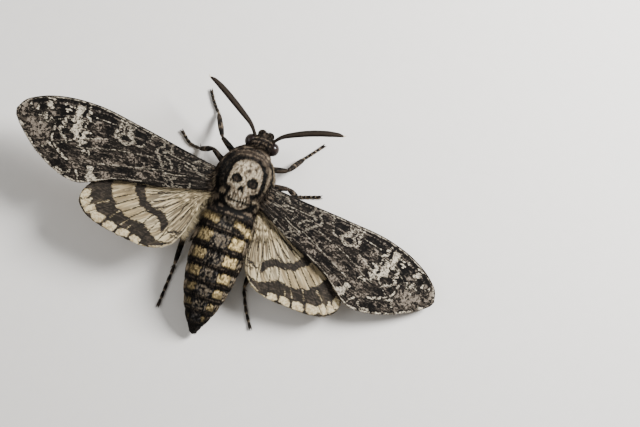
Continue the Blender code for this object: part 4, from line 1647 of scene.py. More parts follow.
FORE_MARKS = WingMarks(
    pale=(
        # The loop and bar at the root.
        stroke(0.42, (2.4, 1.1), (4.4, 1.4), (5.9, 1.2), (6.8, 0.5), (6.8, -0.1), (5.8, -0.9), (4.5, -1.6),
               (2.2, -1.9)),
        stroke(0.34, (2.6, 0.1), (4.0, 0.15), (5.5, -0.2)),
        # The inner zigzag from the leading to the trailing edge.
        stroke(0.6, (13.2, 2.9), (13.6, 2.2), (13.3, 1.6), (12.9, 0.95), (13.9, 0.5), (15.0, 0.0)),
        stroke(0.55, (15.0, 2.8), (15.6, 2.1), (15.4, 1.4), (16.2, 0.8), (16.9, 0.1), (16.8, -0.6),
               (15.9, -1.5), (14.9, -2.5), (13.9, -3.4), (13.7, -4.6)),
        stroke(0.42, (14.3, -0.9), (12.9, -1.4), (11.8, -2.4), (11.5, -3.5), (12.2, -4.0)),
        stroke(0.3, (13.9, -2.1), (12.8, -2.8)),
        stroke(0.42, (9.8, -5.2), (10.8, -5.9), (11.8, -5.2), (12.9, -5.1), (12.6, -5.9), (11.8, -6.4),
               (11.5, -7.4), (11.8, -8.0)),
        stroke(0.42, (10.4, -6.3), (9.8, -7.2), (9.0, -7.6), (10.8, -7.8)),
        stroke(0.26, (9.3, -3.0), (10.0, -2.0)), stroke(0.24, (8.3, 1.6), (9.4, 1.4)),
        oval((5.5, -5.6), (0.45, 0.8)), oval((7.9, -6.9), (0.8, 0.3)),
        # The ring in the wing's middle.
        ring((25.4, -0.5), (1.95, 1.25), 0.5),
        stroke(0.5, (27.4, 1.0), (28.4, 0.5), (28.6, -0.5), (27.9, -1.3)),
        stroke(0.4, (24.3, 1.2), (25.2, 2.0), (24.3, 3.1), (26.2, 3.2), (28.4, 3.5)),
        stroke(0.34, (24.6, 2.2), (26.6, 2.3), (28.5, 2.2)), stroke(0.34, (25.4, 1.0), (25.5, 3.3)),
        stroke(0.34, (26.8, 1.1), (26.7, 3.4)), stroke(0.34, (27.9, 1.2), (28.0, 3.5)),
        stroke(0.3, (20.4, 0.3), (20.9, -0.9), (22.0, -1.1)), stroke(0.3, (19.2, 2.9), (19.5, 1.4)),
        # The broad broken band beyond it.
        blob((38.4, 3.2), (40.0, 3.0), (40.2, 2.0), (40.3, 1.0), (39.9, 0.3), (40.2, -0.5), (40.3, -1.3),
             (39.3, -1.8), (39.7, -2.6), (39.3, -3.2), (39.9, -4.0), (38.7, -4.5), (37.9, -5.0),
             (38.0, -5.9), (36.6, -6.2), (36.4, -7.2), (35.6, -7.0), (35.8, -6.0), (34.4, -5.5),
             (35.7, -5.0), (35.3, -4.0), (35.8, -3.6), (34.2, -2.6), (35.4, -2.3), (36.5, -3.0),
             (36.3, -4.4), (37.0, -4.6), (37.4, -3.8), (37.0, -2.9), (37.6, -1.9), (37.1, -1.0),
             (38.1, -0.7), (38.0, 0.5), (38.6, 1.2), (38.2, 2.1)),
        stroke(0.42, (37.0, 3.9), (36.9, 3.0), (36.2, 2.1), (37.2, 1.4), (36.4, 0.8), (35.9, 0.5)),
        stroke(0.4, (36.3, -0.4), (36.6, -1.2), (36.2, -2.0)),
        stroke(0.5, (41.6, -1.0), (41.9, -1.6), (41.4, -2.2), (42.3, -2.7), (41.4, -3.5), (42.4, -4.3),
               (42.2, -5.1), (41.5, -5.8), (40.3, -6.3), (39.7, -6.9)),
        stroke(0.3, (41.0, 2.0), (42.0, 1.8)), stroke(0.34, (43.2, 2.2), (43.7, 1.5)),
        stroke(0.34, (41.2, 0.9), (42.7, 0.9), (42.3, 0.3)),
        # Near the tip.
        stroke(0.4, (46.6, 2.0), (48.3, 1.8)),
        blob((46.7, 1.1), (48.0, 1.0), (47.7, 0.1), (47.3, -0.9), (45.6, -0.5), (46.4, 0.3)),
        stroke(0.34, (45.4, -2.7), (46.1, -3.9), (47.0, -3.2), (46.6, -2.6)),
        stroke(0.36, (47.2, -2.2), (48.7, -3.1)), stroke(0.36, (49.8, -0.8), (49.6, -2.4)),
        stroke(0.3, (51.8, -1.0), (51.1, -2.6)),
        # The thin line that runs down to the trailing corner.
        stroke(0.34, (44.0, -3.9), (43.6, -5.4), (43.9, -6.3), (43.4, -7.8), (42.8, -8.5), (41.7, -9.4),
               (40.4, -10.1), (39.0, -11.0), (37.6, -11.4)),
        stroke(0.3, (43.2, -8.7), (44.3, -9.6), (44.9, -10.3)), stroke(0.26, (42.3, -9.9), (44.4, -8.9)),
        blob((30.2, -10.5), (32.2, -11.0), (31.9, -12.0), (31.4, -12.7), (31.8, -14.4), (30.5, -14.4),
             (28.6, -13.4), (29.4, -12.6), (30.2, -12.2), (30.5, -11.4)),
        stroke(0.4, (33.3, -15.4), (33.6, -14.2), (34.4, -13.3)),
        stroke(0.34, (33.0, -8.0), (33.4, -7.3), (34.5, -7.7), (34.7, -8.4)),
        stroke(0.36, (35.8, -13.9), (37.4, -14.9), (39.6, -14.3)),
        # Pale dashes along the outer margin.
        blob((51.1, -7.2), (53.2, -6.6), (52.0, -8.0)), stroke(0.5, (49.3, -9.9), (50.7, -8.9)),
        stroke(0.5, (47.0, -11.5), (48.6, -10.4)), stroke(0.5, (44.2, -13.2), (46.0, -12.2)),
        stroke(0.5, (41.2, -14.4), (43.2, -13.6)), stroke(0.5, (37.6, -15.5), (40.2, -14.9)),
        stroke(0.5, (34.4, -15.9), (36.6, -15.8))),
    grey=(
        blob((24.0, 3.9), (28.7, 4.1), (28.6, 1.0), (24.0, 1.0)), oval((26.9, -11.6), (1.4, 0.85)),
        oval((31.6, -5.6), (1.0, 0.7)), blob((29.4, -2.2), (32.6, -3.0), (33.4, -4.8), (30.6, -4.4)),
        blob((44.6, 0.2), (46.0, -0.2), (48.4, -2.0), (48.6, -4.2), (45.2, -3.9)),
        oval((50.2, -2.0), (1.0, 1.3)),
        blob((43.8, -4.9), (50.8, -4.2), (51.4, -6.4), (48.4, -9.3), (44.3, -8.0)),
        blob((51.6, 0.9), (53.6, -0.8), (54.9, -3.8), (53.3, -5.8), (51.8, -4.2), (52.2, -1.8)),
        oval((35.2, -12.0), (1.2, 0.9)), oval((21.9, -4.5), (1.6, 0.9)), oval((18.4, -7.9), (1.4, 0.7)),
        oval((33.2, 0.0), (1.1, 1.1)), oval((15.0, -6.2), (1.0, 0.6)), oval((18.2, -5.0), (0.9, 0.9)),
        blob((34.0, 3.6), (34.9, 3.4), (34.9, 2.2), (33.8, 2.5)), oval((37.8, -11.0), (0.9, 0.6)),
        oval((39.6, -11.6), (1.4, 0.6)), oval((34.0, -9.2), (1.3, 0.7)), oval((27.6, -8.0), (1.4, 0.7)),
        oval((19.6, 1.8), (0.8, 0.9)), stroke(0.9, (30.6, -10.0), (33.0, -9.6))),
    dark=(
        stroke(0.8, *inside_edge(FORE_LEADING, 1.0, 0.5, 0.94)),
        blob((20.4, 4.0), (24.0, 4.0), (23.8, 0.9), (22.6, 0.3), (20.3, 0.8)),
        oval((25.5, -0.5), (1.25, 0.72)),
        blob((29.0, 4.4), (33.4, 4.4), (35.6, 4.4), (35.4, 1.4), (34.4, 1.2), (29.4, 1.2), (29.4, 2.4)),
        blob((29.3, 1.0), (31.4, 0.8), (31.2, -1.6), (29.2, -1.4)),
        blob((40.6, 3.2), (46.8, 2.6), (45.8, 0.2), (44.6, -0.8), (44.8, -3.6), (43.2, -3.6), (42.6, -2.0),
             (42.0, 0.0), (40.6, 0.2)),
        oval((46.3, -2.2), (0.8, 0.7)), blob((47.9, 1.0), (50.8, 0.6), (49.4, -2.4), (47.7, -1.4)),
        blob((39.2, -7.2), (43.0, -6.2), (42.4, -8.4), (40.6, -9.6), (38.4, -9.0)),
        oval((28.9, -11.9), (0.9, 0.6)), blob((7.0, 2.8), (12.6, 3.2), (12.4, 1.2), (7.6, 0.9)),
        blob((17.2, -5.6), (19.6, -5.6), (19.6, -3.2), (18.6, -2.4)), oval((37.4, 2.4), (0.6, 0.7)),
        blob((19.4, -7.2), (24.0, -7.4), (24.4, -9.6), (20.4, -9.4)), oval((13.0, -6.9), (0.6, 0.7)),
        blob((36.6, -11.8), (41.6, -10.6), (43.4, -12.6), (38.0, -14.2)), oval((29.2, -4.2), (1.4, 0.5))),
    line=(
        stroke(0.2, *inside_edge(FORE_LEADING, 0.4, 0.3, 0.99)),
        stroke(0.18, (6.6, -0.4), (9.4, -0.1), (13.0, 0.2)), stroke(0.16, (6.3, -1.4), (8.6, -1.1)),
        stroke(0.16, (7.4, -3.5), (10.0, -4.4), (12.6, -4.8)), stroke(0.16, (29.2, 1.9), (34.6, 1.6)),
        stroke(0.16, (14.0, -4.6), (22.0, -7.0), (30.0, -9.4)),
        stroke(0.16, (17.0, -2.2), (27.0, -4.2), (36.0, -7.4)),
        stroke(0.16, (30.0, -2.4), (37.0, -5.2), (43.0, -9.4)),
        stroke(0.16, (34.0, 0.4), (41.0, -1.0), (48.0, -5.0)),
        stroke(0.3, (26.0, -12.3), (28.0, -13.2), (30.0, -14.3), (32.4, -15.4), (34.2, -15.9)),
        stroke(0.16, (17.5, -9.2), (22.0, -10.3), (26.0, -11.9))))
HIND_MARKS = WingMarks(
    pale=(
        blob((31.0, -12.3), (32.6, -12.6), (33.2, -14.5), (33.0, -15.3), (31.3, -15.0), (30.8, -13.5)),
        blob((29.8, -14.2), (31.2, -15.0), (32.8, -15.8), (31.8, -17.2), (30.6, -16.8), (30.1, -15.4)),
        blob((28.7, -15.7), (30.2, -16.2), (31.3, -17.4), (30.0, -18.6), (28.8, -18.1), (27.9, -17.0)),
        blob((24.9, -18.0), (26.6, -17.3), (28.2, -17.3), (28.9, -18.6), (27.3, -20.2), (25.4, -19.4)),
        blob((21.2, -19.2), (22.7, -18.6), (24.1, -18.6), (25.3, -19.9), (24.4, -20.9), (22.2, -21.0)),
        blob((17.5, -19.7), (18.9, -19.0), (20.6, -19.5), (21.3, -20.9), (20.4, -21.5), (18.2, -21.0)),
        blob((14.3, -20.4), (16.3, -19.7), (17.5, -20.7), (16.7, -21.6), (14.8, -21.9)),
        stroke(0.5, (14.2, -21.8), (12.6, -21.8)),
        stroke(0.5, (11.4, -21.4), (8.4, -20.4), (6.0, -18.7), (4.6, -16.7), (3.9, -14.4)),
        stroke(0.24, (8.2, -13.2), (9.2, -16.4), (10.6, -19.0)), stroke(0.18, (22.0, -15.2), (24.0, -17.5)),
        stroke(0.18, (19.2, -16.6), (20.8, -18.5)), stroke(0.18, (25.6, -13.6), (28.2, -15.2)),
        stroke(0.18, (18.2, -18.0), (18.7, -18.9))),
    grey=(
        blob((1.5, -6.0), (4.6, -8.0), (6.2, -12.4), (8.0, -14.4), (7.6, -15.8), (5.2, -15.4), (3.6, -13.0)),
        blob((19.8, -6.6), (27.0, -6.8), (26.2, -10.2), (21.4, -9.3)),
        stroke(1.4, (1.0, -3.4), (3.4, -6.0), (4.6, -9.4))),
    dark=(
        blob((17.6, -6.4), (17.2, -8.5), (16.4, -9.9), (15.2, -10.3), (14.3, -11.0), (12.8, -11.3),
             (11.3, -11.6), (10.2, -12.4), (9.2, -13.2), (8.7, -14.4), (9.0, -15.6), (9.8, -17.0),
             (10.5, -15.9), (11.1, -14.6), (12.0, -13.6), (14.0, -13.0), (16.1, -12.5), (17.8, -11.9),
             (18.4, -10.6), (19.4, -9.6), (20.3, -8.4), (20.4, -6.4)),
        blob((26.3, -6.4), (26.2, -9.2), (25.6, -11.0), (24.6, -12.6), (23.5, -13.4), (23.2, -14.4),
             (21.8, -14.7), (20.8, -15.5), (19.4, -16.0), (17.8, -16.2), (16.4, -16.2), (15.0, -16.1),
             (13.8, -17.0), (12.4, -18.1), (10.9, -18.8), (9.4, -19.1), (7.6, -18.9), (6.0, -18.3),
             (5.0, -17.4), (4.2, -18.5), (8.0, -21.6), (14.0, -23.0), (22.0, -22.0), (31.0, -20.0),
             (35.0, -15.0), (33.0, -8.0), (30.0, -6.4)),
        stroke(0.6, (4.9, -15.0), (5.8, -15.9), (6.7, -15.3), (7.7, -16.2), (8.9, -16.0)),
        stroke(0.4, (5.2, -17.0), (6.4, -16.6), (7.2, -17.0))),
    line=(
        stroke(0.3, (9.6, -5.6), (14.8, -7.9), (19.6, -9.4), (23.3, -11.6), (26.4, -13.3)),
        stroke(0.3, (7.0, -5.6), (12.2, -8.8), (16.4, -10.6), (19.0, -10.5), (22.2, -12.9), (25.4, -15.2),
               (30.2, -18.2)),
        stroke(0.32, (8.0, -7.6), (12.0, -10.8), (17.2, -12.0), (20.0, -14.2), (22.0, -15.6), (25.2, -18.6),
               (25.6, -20.0)),
        stroke(0.32, (6.9, -7.9), (9.9, -11.6), (13.9, -12.8), (15.9, -13.0), (18.9, -15.8), (21.2, -18.6),
               (21.4, -20.8)),
        stroke(0.3, (12.0, -13.0), (13.7, -13.4), (15.0, -15.8), (17.2, -18.6), (17.6, -21.2)),
        stroke(0.3, (11.0, -13.8), (11.9, -15.0), (12.9, -17.2), (14.0, -19.6), (14.3, -21.6)),
        stroke(0.3, (5.0, -6.4), (6.3, -8.2), (7.0, -10.4), (8.3, -13.4), (9.0, -16.6), (10.0, -19.0)),
        stroke(0.24, (3.9, -6.6), (5.0, -9.0), (6.2, -12.2)),
        stroke(0.22, (6.4, -4.6), (12.0, -6.4), (17.0, -7.8)),
        stroke(0.22, (10.2, -7.4), (14.2, -9.8)), stroke(0.2, (3.0, -7.4), (3.8, -11.0), (4.6, -14.4))))


@dataclass(frozen=True)
class Wing:
    """One wing as a thin closed sheet of membrane with raised veins.

    Attributes:
        node: the CAD node that it replaces.
        side: the moth's left or right.
        hinge: where the wing's own frame sits.
        lift: how far the wing's plane rises outwards, in degrees.
        turn: how far the wing is swung forward, in degrees.
        leading: points of the front edge, from root to tip.
        outer: points of the outer margin.
        trailing: points of the rear edge.
        veins: places of the veins as shares from front to rear.
        camber: how far the middle bulges up.
        marks: the markings.
        grid: rows and columns of the sheet.
        arch: how quickly the wing bends down outwards.
        membrane: half the sheet's thickness.
        vein_rise: how far a vein stands up from it at the root.
        vein_width: half a vein's width.
        rim: share of the wing at which the fringe's roots lie.
    """

    node: str
    side: Side
    hinge: tuple
    lift: float
    turn: float
    leading: tuple
    outer: tuple
    trailing: tuple
    veins: tuple
    camber: float
    marks: WingMarks
    grid: tuple
    arch: float = 0.0004
    membrane: float = 0.12
    vein_rise: float = 0.13
    vein_width: float = 0.17
    rim: float = 0.995

    def flat(self, s: np.ndarray, t: np.ndarray) -> np.ndarray:
        """Places on the flat wing.

        Args:
            s, t: shares from the root outwards and from the front backwards.

        Returns:
            Millimetres out from and forward of the hinge.
        """
        s1, t1 = s[:, None], t[:, None]
        front, back = curve_at(self.leading, s), curve_at(self.trailing, s)
        margin = curve_at(self.outer, t)
        a, b = np.array(self.leading[0]), np.array(self.trailing[0])
        c, d = np.array(self.leading[-1]), np.array(self.trailing[-1])
        root = (1 - t1) * a + t1 * b
        corners = (1 - s1) * root + s1 * ((1 - t1) * c + t1 * d)
        return (1 - t1) * front + t1 * back + (1 - s1) * root + s1 * margin - corners

    def raise_flat(self, flat: np.ndarray, s: np.ndarray, t: np.ndarray, height: np.ndarray) -> np.ndarray:
        """Turn places on the flat wing into the moth's frame.

        Args:
            flat: millimetres out from and forward of the hinge.
            s, t: shares from the root outwards and from the front backwards.
            height: millimetres off the wing.

        Returns:
            x, y and z of each place.
        """
        u, v = flat[:, 0], flat[:, 1]
        bulge = self.camber * np.sin(math.pi * t) * np.sin(math.pi * np.minimum(1.0, 0.15 + 0.85 * s))
        w = bulge - self.arch * np.maximum(u, 0.0) ** 2 + height
        lift, turn = math.radians(self.lift), math.radians(self.turn)
        out = u * math.cos(lift) - w * math.sin(lift)
        high = u * math.sin(lift) + w * math.cos(lift)
        x = self.hinge[0] + out * math.cos(turn) - v * math.sin(turn)
        y = self.hinge[1] - out * math.sin(turn) - v * math.cos(turn)
        return np.column_stack([self.side.value * x, y, self.hinge[2] + high])

    def vein_at(self, s: np.ndarray, t: np.ndarray) -> np.ndarray:
        """How near each place is to a vein.

        Args:
            s, t: shares from the root outwards and from the front backwards.

        Returns:
            1 on a vein's crest, falling to 0 beside it.
        """
        chord = np.linalg.norm(curve_at(self.leading, s) - curve_at(self.trailing, s), axis=1) + 2.0
        ridge = np.zeros(len(s))
        for place in self.veins:
            ridge = np.maximum(ridge, np.exp(-(((t - place) * chord / self.vein_width) ** 2)))
        return ridge

    def sheet(self) -> tuple:
        """The wing's closed sheet.

        Returns:
            The mesh, each vertex's shares from the root and the front edge, and 1 for
            the upper face or 0 for the lower.
        """
        build = bmesh.new()
        bmesh.ops.create_grid(build, x_segments=self.grid[0], y_segments=self.grid[1], size=1.0)
        upper = build.verts.layers.float.new("upper")
        made = bmesh.ops.extrude_face_region(build, geom=build.faces[:], use_keep_orig=True)
        for item in made["geom"]:
            if isinstance(item, bmesh.types.BMVert):
                item[upper] = 1.0
        bmesh.ops.recalc_face_normals(build, faces=build.faces)
        mesh = new_mesh(self.node, build)
        spots = coordinates(mesh)
        top = np.empty(len(mesh.vertices), dtype=np.float32)
        mesh.attributes["upper"].data.foreach_get("value", top)
        mesh.attributes.remove(mesh.attributes["upper"])
        return mesh, (spots[:, 0] + 1) / 2, (spots[:, 1] + 1) / 2, top

    def dress(self, look: Material, slot: Slot) -> Object:
        """Make the wing with its markings.

        Args:
            look: the material.
            slot: not used.

        Returns:
            The wing.
        """
        mesh, s, t, top = self.sheet()
        flat = self.flat(s, t)
        vein = self.vein_at(s, t)
        half = self.membrane + self.vein_rise * vein * (1 - 0.6 * s) + 0.2 * np.maximum(0.0, 0.2 - s)
        half = half * (1 - 0.5 * ease(np.maximum(s, t), 0.96, 1.0))
        points = self.raise_flat(flat, s, t, np.where(top > 0.5, half, -half))
        for name in ("pale", "grey", "dark", "line"):
            store_values(mesh, name, nearest(getattr(self.marks, name), flat))
        store_values(mesh, "flat", np.column_stack([flat, 3.0 * top]))
        store_values(mesh, "fan", np.column_stack([flat[:, 0], 18.0 * t, 3.0 * top]))
        store_values(mesh, "vein", vein * top * (1 - 0.5 * s))
        store_values(mesh, "top", top)
        store_values(mesh, "zone", self.zone(flat))
        store_values(mesh, "hairy", 0.5 + 0.4 * ease(flat[:, 0] - 0.6 * flat[:, 1], 26.0, 18.0))
        place_vertices(mesh, points)
        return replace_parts(add_piece(self.node + "_scales", mesh, look), self.node)

    def zone(self, flat: np.ndarray) -> np.ndarray:
        """How thickly grey scales dust the forewing.

        Args:
            flat: millimetres out from and forward of the hinge.

        Returns:
            A value between 0 and 1 for each place.
        """
        u, v = flat[:, 0], flat[:, 1]
        outer = 0.12 * ease(u - 0.35 * v, 43.0, 50.0)
        rear = 0.15 * ease(v, -4.0, -7.5) * ease(u, 13.0, 18.0)
        middle = 0.12 * ease(u, 17.0, 21.0) * ease(v, 0.5, -1.5)
        broad = 0.3 * (ripple(np.column_stack([u, v, v]), 2.4, 12.0) - 0.5)
        return np.clip(0.12 + outer + rear + middle + broad, 0.0, 1.0)

    def margin_roots(self, spacing: float, seed: int) -> tuple:
        """Roots of the fringe along the outer margin and the rear edge.

        Args:
            spacing: distance between roots.
            seed: start of the random draw.

        Returns:
            The roots, and each root's place on the flat wing.
        """
        draw = np.random.default_rng(SEED + seed)
        found = []
        for edge, at_margin in ((self.outer, True), (self.trailing, False)):
            line = curve_at(edge, np.linspace(0.0, 1.0, 200))
            reach = np.linalg.norm(np.diff(line, axis=0), axis=1).sum()
            count = int(reach / spacing)
            share = (np.arange(count) + draw.uniform(0, 1, count)) * spacing / reach
            rim = np.full(count, self.rim)
            found.append((rim, share) if at_margin else (share, rim))
        s = np.concatenate([f[0] for f in found])
        t = np.clip(np.concatenate([f[1] for f in found]), 0.0, 1.0)
        flat = self.flat(s, t)
        inner = self.flat(np.where(s > 0.99, s - 0.03, s), np.where(s > 0.99, t, t - 0.03))
        level = 0.02 * draw.uniform(-1, 1, len(s))
        here = self.raise_flat(flat, s, t, level)
        lie = unit(here - self.raise_flat(inner, s, t, level))
        hinge, zero = np.zeros((1, 2)), np.zeros(1)
        rise = self.raise_flat(hinge, zero, zero, np.ones(1)) - self.raise_flat(hinge, zero, zero, zero)
        up = np.tile(rise, (len(s), 1))
        out = unit(up - (np.sum(up * lie, axis=1))[:, None] * lie)
        return Roots(here - 0.25 * lie, out, lie, np.column_stack([s, t])), flat

    def hair_roots(self, reach: float, count: int, seed: int) -> Roots:
        """Roots of the long hair that lies outwards over the wing's root.

        Args:
            reach: the share of the wing that the roots fill.
            count: how many roots.
            seed: start of the random draw.

        Returns:
            The roots.
        """
        draw = np.random.default_rng(SEED + seed)
        s, t = draw.uniform(0.0, reach, count), draw.uniform(0.03, 0.97, count)
        level = np.full(count, self.membrane)
        here = self.raise_flat(self.flat(s, t), s, t, level)
        ahead = self.raise_flat(self.flat(s + 0.02, t), s + 0.02, t, level)
        above = self.raise_flat(self.flat(s, t), s, t, level + 1.0)
        return Roots(here, unit(above - here), unit(ahead - here), np.column_stack([s, t]))


def wings() -> list:
    """The four wings in the pose of the picture.

    Returns:
        Pairs of whether it is a forewing, and the wing.
    """
    found = []
    for side, lift, fore_turn, hind_turn in ((Side.LEFT, 3.5, 3.0, 0.0), (Side.RIGHT, -9.6, -10.0, -11.0)):
        found.append((True, Wing(
            "forewing_" + side.letter, side, hinge=(7.0, 1.5, 13.0), lift=lift, turn=fore_turn,
            leading=FORE_LEADING, outer=FORE_OUTER, trailing=FORE_TRAILING,
            veins=(0.07, 0.2, 0.33, 0.46, 0.59, 0.73, 0.88), camber=0.42, marks=FORE_MARKS, grid=(210, 72))))
        found.append((False, Wing(
            "hindwing_" + side.letter, side, hinge=(6.0, 4.0, 11.5), lift=lift, turn=hind_turn,
            leading=HIND_LEADING, outer=HIND_OUTER, trailing=HIND_TRAILING,
            veins=(0.12, 0.3, 0.46, 0.62, 0.78), camber=0.16, marks=HIND_MARKS, grid=(120, 90))))
    return found


def strand_roots(strand: Strand, shares: tuple, spacing: float, seed: int, chart: tuple) -> Roots:
    """Evenly scattered roots over a strand.

    Args:
        strand: the strand.
        shares: first and last share of its length.
        spacing: distance between roots.
        seed: start of the random draw.
        chart: the part of the baking map's width that the strand takes.

    Returns:
        The roots, which lie along the strand.
    """
    draw = np.random.default_rng(SEED + seed)
    line = curve_at(strand.path, np.linspace(0.0, 1.0, 100))
    length = np.linalg.norm(np.diff(line, axis=0), axis=1).sum()
    all_shares, all_turns = [], []
    for share in np.arange(shares[0], shares[1], spacing / length):
        count = max(3, int(2 * math.pi * strand.radius(np.array([share]))[0] / spacing))
        all_turns.append((np.arange(count) + draw.uniform(0, 1, count)) / count * 2 * math.pi)
        all_shares.append(share + draw.uniform(-0.5, 0.5, count) * spacing / length)
    share = np.clip(np.concatenate(all_shares), 0.0, 1.0)
    around = np.concatenate(all_turns)
    here, out = strand.surface(share, around)
    _, ahead, _, _ = strand.frames(share)
    flat = np.column_stack([chart[0] + (chart[1] - chart[0]) * around / (2 * math.pi), share])
    return Roots(here, out, unit(ahead - np.sum(ahead * out, axis=1)[:, None] * out), flat)


@dataclass(frozen=True)
class Head:
    """Eyes, palps, tongue and feelers.

    Attributes:
        origin: where the head meets the collar.
        turn: how far the head is turned to its right, in degrees.
        eye: an eye's radius, and how far to the side, forward and up it sits.
        eye_shape: its width, depth and height over that radius.
        palp_rows: forward, side, height and radius along a palp.
        tongue_middle: the coil's middle forward and up.
        tongue_coil: radius of the coil's outer turn, and how much it shrinks inwards.
        tongue_turns: turns of the coil.
        tongue_radii: the tongue's own radius along it.
        tongue_ribs: how closely its ribs follow each other.
        feeler_left: points of the left feeler.
        feeler_right: points of the right feeler.
        feeler_radii: a feeler's radius along it.
        feeler_joints: joints of a feeler.
    """

    origin: tuple = (-1.4, -8.6)
    turn: float = 4.0
    eye: tuple = (1.75, 3.1, 1.25, 11.3)
    eye_shape: tuple = (0.96, 1.04, 1.0)
    palp_rows: tuple = (
        (2.6, 1.0, 8.5, 0.3), (3.0, 1.05, 8.3, 0.75), (3.6, 1.1, 8.5, 1.0), (3.95, 1.1, 9.3, 1.12),
        (4.0, 1.08, 10.4, 1.15), (3.9, 1.06, 11.5, 1.14), (3.6, 1.02, 12.3, 0.95), (3.3, 0.98, 12.8, 0.4),
        (3.2, 0.96, 12.95, 0.02))
    tongue_middle: tuple = (2.3, 7.15)
    tongue_coil: tuple = (1.08, 0.72)
    tongue_turns: float = 2.3
    tongue_radii: tuple = ((0.0, 0.0), (0.015, 0.27), (0.5, 0.22), (0.97, 0.1), (1.0, 0.0))
    tongue_ribs: float = 520.0
    feeler_left: tuple = (
        (0.45, -10.9, 11.9), (2.9, -14.0, 13.0), (6.2, -16.3, 13.7), (9.4, -18.3, 14.1), (12.6, -20.2, 14.2),
        (15.6, -21.7, 14.0), (17.3, -22.35, 13.65), (17.65, -22.7, 13.9))
    feeler_right: tuple = (
        (-3.5, -10.7, 11.9), (-5.9, -13.4, 13.0), (-9.1, -15.2, 13.7), (-13.0, -16.9, 14.1),
        (-16.6, -18.1, 14.2), (-19.8, -18.9, 14.0), (-21.5, -19.2, 13.65), (-21.9, -19.5, 13.85))
    feeler_radii: tuple = (
        (0.0, 0.3), (0.04, 0.52), (0.09, 0.44), (0.16, 0.52), (0.28, 0.68), (0.42, 0.8), (0.6, 0.85),
        (0.78, 0.78), (0.9, 0.55), (0.955, 0.26), (0.985, 0.1), (1.0, 0.0))
    feeler_joints: float = 74.0

    def place(self, forward: float, side: float, height: float) -> tuple:
        """Turn a place on the head into the moth's frame.

        Args:
            forward: millimetres forward of the collar.
            side: millimetres to the moth's left.
            height: millimetres above the floor.

        Returns:
            x, y and z.
        """
        turn = math.radians(self.turn)
        x = self.origin[0] - forward * math.sin(turn) + side * math.cos(turn)
        return (x, self.origin[1] - forward * math.cos(turn) - side * math.sin(turn), height)

    def eye_middle(self, side: Side) -> np.ndarray:
        """The middle of one eye."""
        _, aside, forward, height = self.eye
        return np.array(self.place(forward, side.value * aside, height))

    def clear_of_eyes(self, places: np.ndarray) -> np.ndarray:
        """Which places lie outside both eyes.

        Args:
            places: the places.

        Returns:
            True or False for each place.
        """
        clear = np.ones(len(places), bool)
        for side in Side:
            clear &= np.linalg.norm(places - self.eye_middle(side), axis=1) > self.eye[0] + 0.05
        return clear

    def dress_eyes(self, look: Material) -> None:
        """A domed eye on each side, a little deeper than it is wide.

        Args:
            look: the material.
        """
        for side in Side:
            name = "eye_" + side.letter
            mesh, share, around = sleeve(name, 64, 96)
            tilt = share * math.pi
            level = np.sin(tilt)
            ball = np.column_stack([level * np.cos(around), level * np.sin(around), np.cos(tilt)])
            ball = ball * np.array(self.eye_shape) * (self.eye[0] + 0.02)
            place_vertices(mesh, ball + self.eye_middle(side))
            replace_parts(add_piece(name + "_gloss", mesh, look), name)

    def palp(self, side: Side) -> Strand:
        """The path of one palp."""
        path = tuple(self.place(f, side.value * s, z) for f, s, z, _ in self.palp_rows)
        shares = np.linspace(0.0, 1.0, len(path))
        return Strand(path, tuple(zip(shares, np.array(self.palp_rows)[:, 3])))

    def dress_palps(self, coat: Coat) -> None:
        """Two palps that curve up before the face, with their brush of scales.

        Args:
            coat: the maker of coats.
        """
        brush = Fur(0.7, 0.17, 20.0, 16.0, 0.16)
        groups = []
        for side, chart in ((Side.LEFT, (0.0, 0.48)), (Side.RIGHT, (0.5, 0.98))):
            name = "palp_" + side.letter
            strand = self.palp(side)
            mesh, share, around = sleeve(name, 48, 32)
            points, _ = strand.surface(share, around)
            store_colours(mesh, plain(UMBER, len(points)))
            place_vertices(mesh, points)
            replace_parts(add_piece(name + "_skin", mesh, coat.look), name)
            groups.append(strand_roots(strand, (0.06, 0.97), brush.spacing, 61 + int(side.value), chart))
        coat.dress("palp_fur", join_roots(groups), brush, 60, self.palp_colours, Slot.COAT_DARK)

    def palp_colours(self, points: np.ndarray) -> np.ndarray:
        """Dark brown palps with paler rows on their front.

        Args:
            points: places on them.

        Returns:
            A colour for each place.
        """
        fine = ripple(points, 0.4, 3.0)
        row = 0.5 + 0.5 * np.cos((points[:, 2] - 0.5 * points[:, 1]) * 2 * math.pi / 1.1)
        pale = ease(row + 0.9 * (fine - 0.5), 0.72, 0.98) * 0.9
        return blend_colours(plain(BLACK, len(points)), DUN, pale)

    def dress_tongue(self, look: Material) -> None:
        """The short thick tongue, coiled under the face.

        Args:
            look: the material.
        """
        steps = np.linspace(0.0, 1.0, 40)
        reach = self.tongue_coil[0] - self.tongue_coil[1] * steps
        angle = math.radians(118.0) + steps * self.tongue_turns * 2 * math.pi
        ahead, up = self.tongue_middle
        path = [self.place(ahead + r * math.cos(a), 0.0, up + r * math.sin(a)) for r, a in zip(reach, angle)]
        strand = Strand(tuple(path), self.tongue_radii)
        mesh, share, around = sleeve("tongue", 220, 20)
        rib = np.sin(share * self.tongue_ribs)
        points, _ = strand.surface(share, around, 0.012 * rib * (share > 0.02) * (share < 0.97))
        store_colours(mesh, plain(DUN, len(points)))
        store_values(mesh, "band", ease(rib, -0.5, 0.5) * 0.3)
        place_vertices(mesh, points)
        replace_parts(add_piece("tongue_coil", mesh, look), "proboscis")

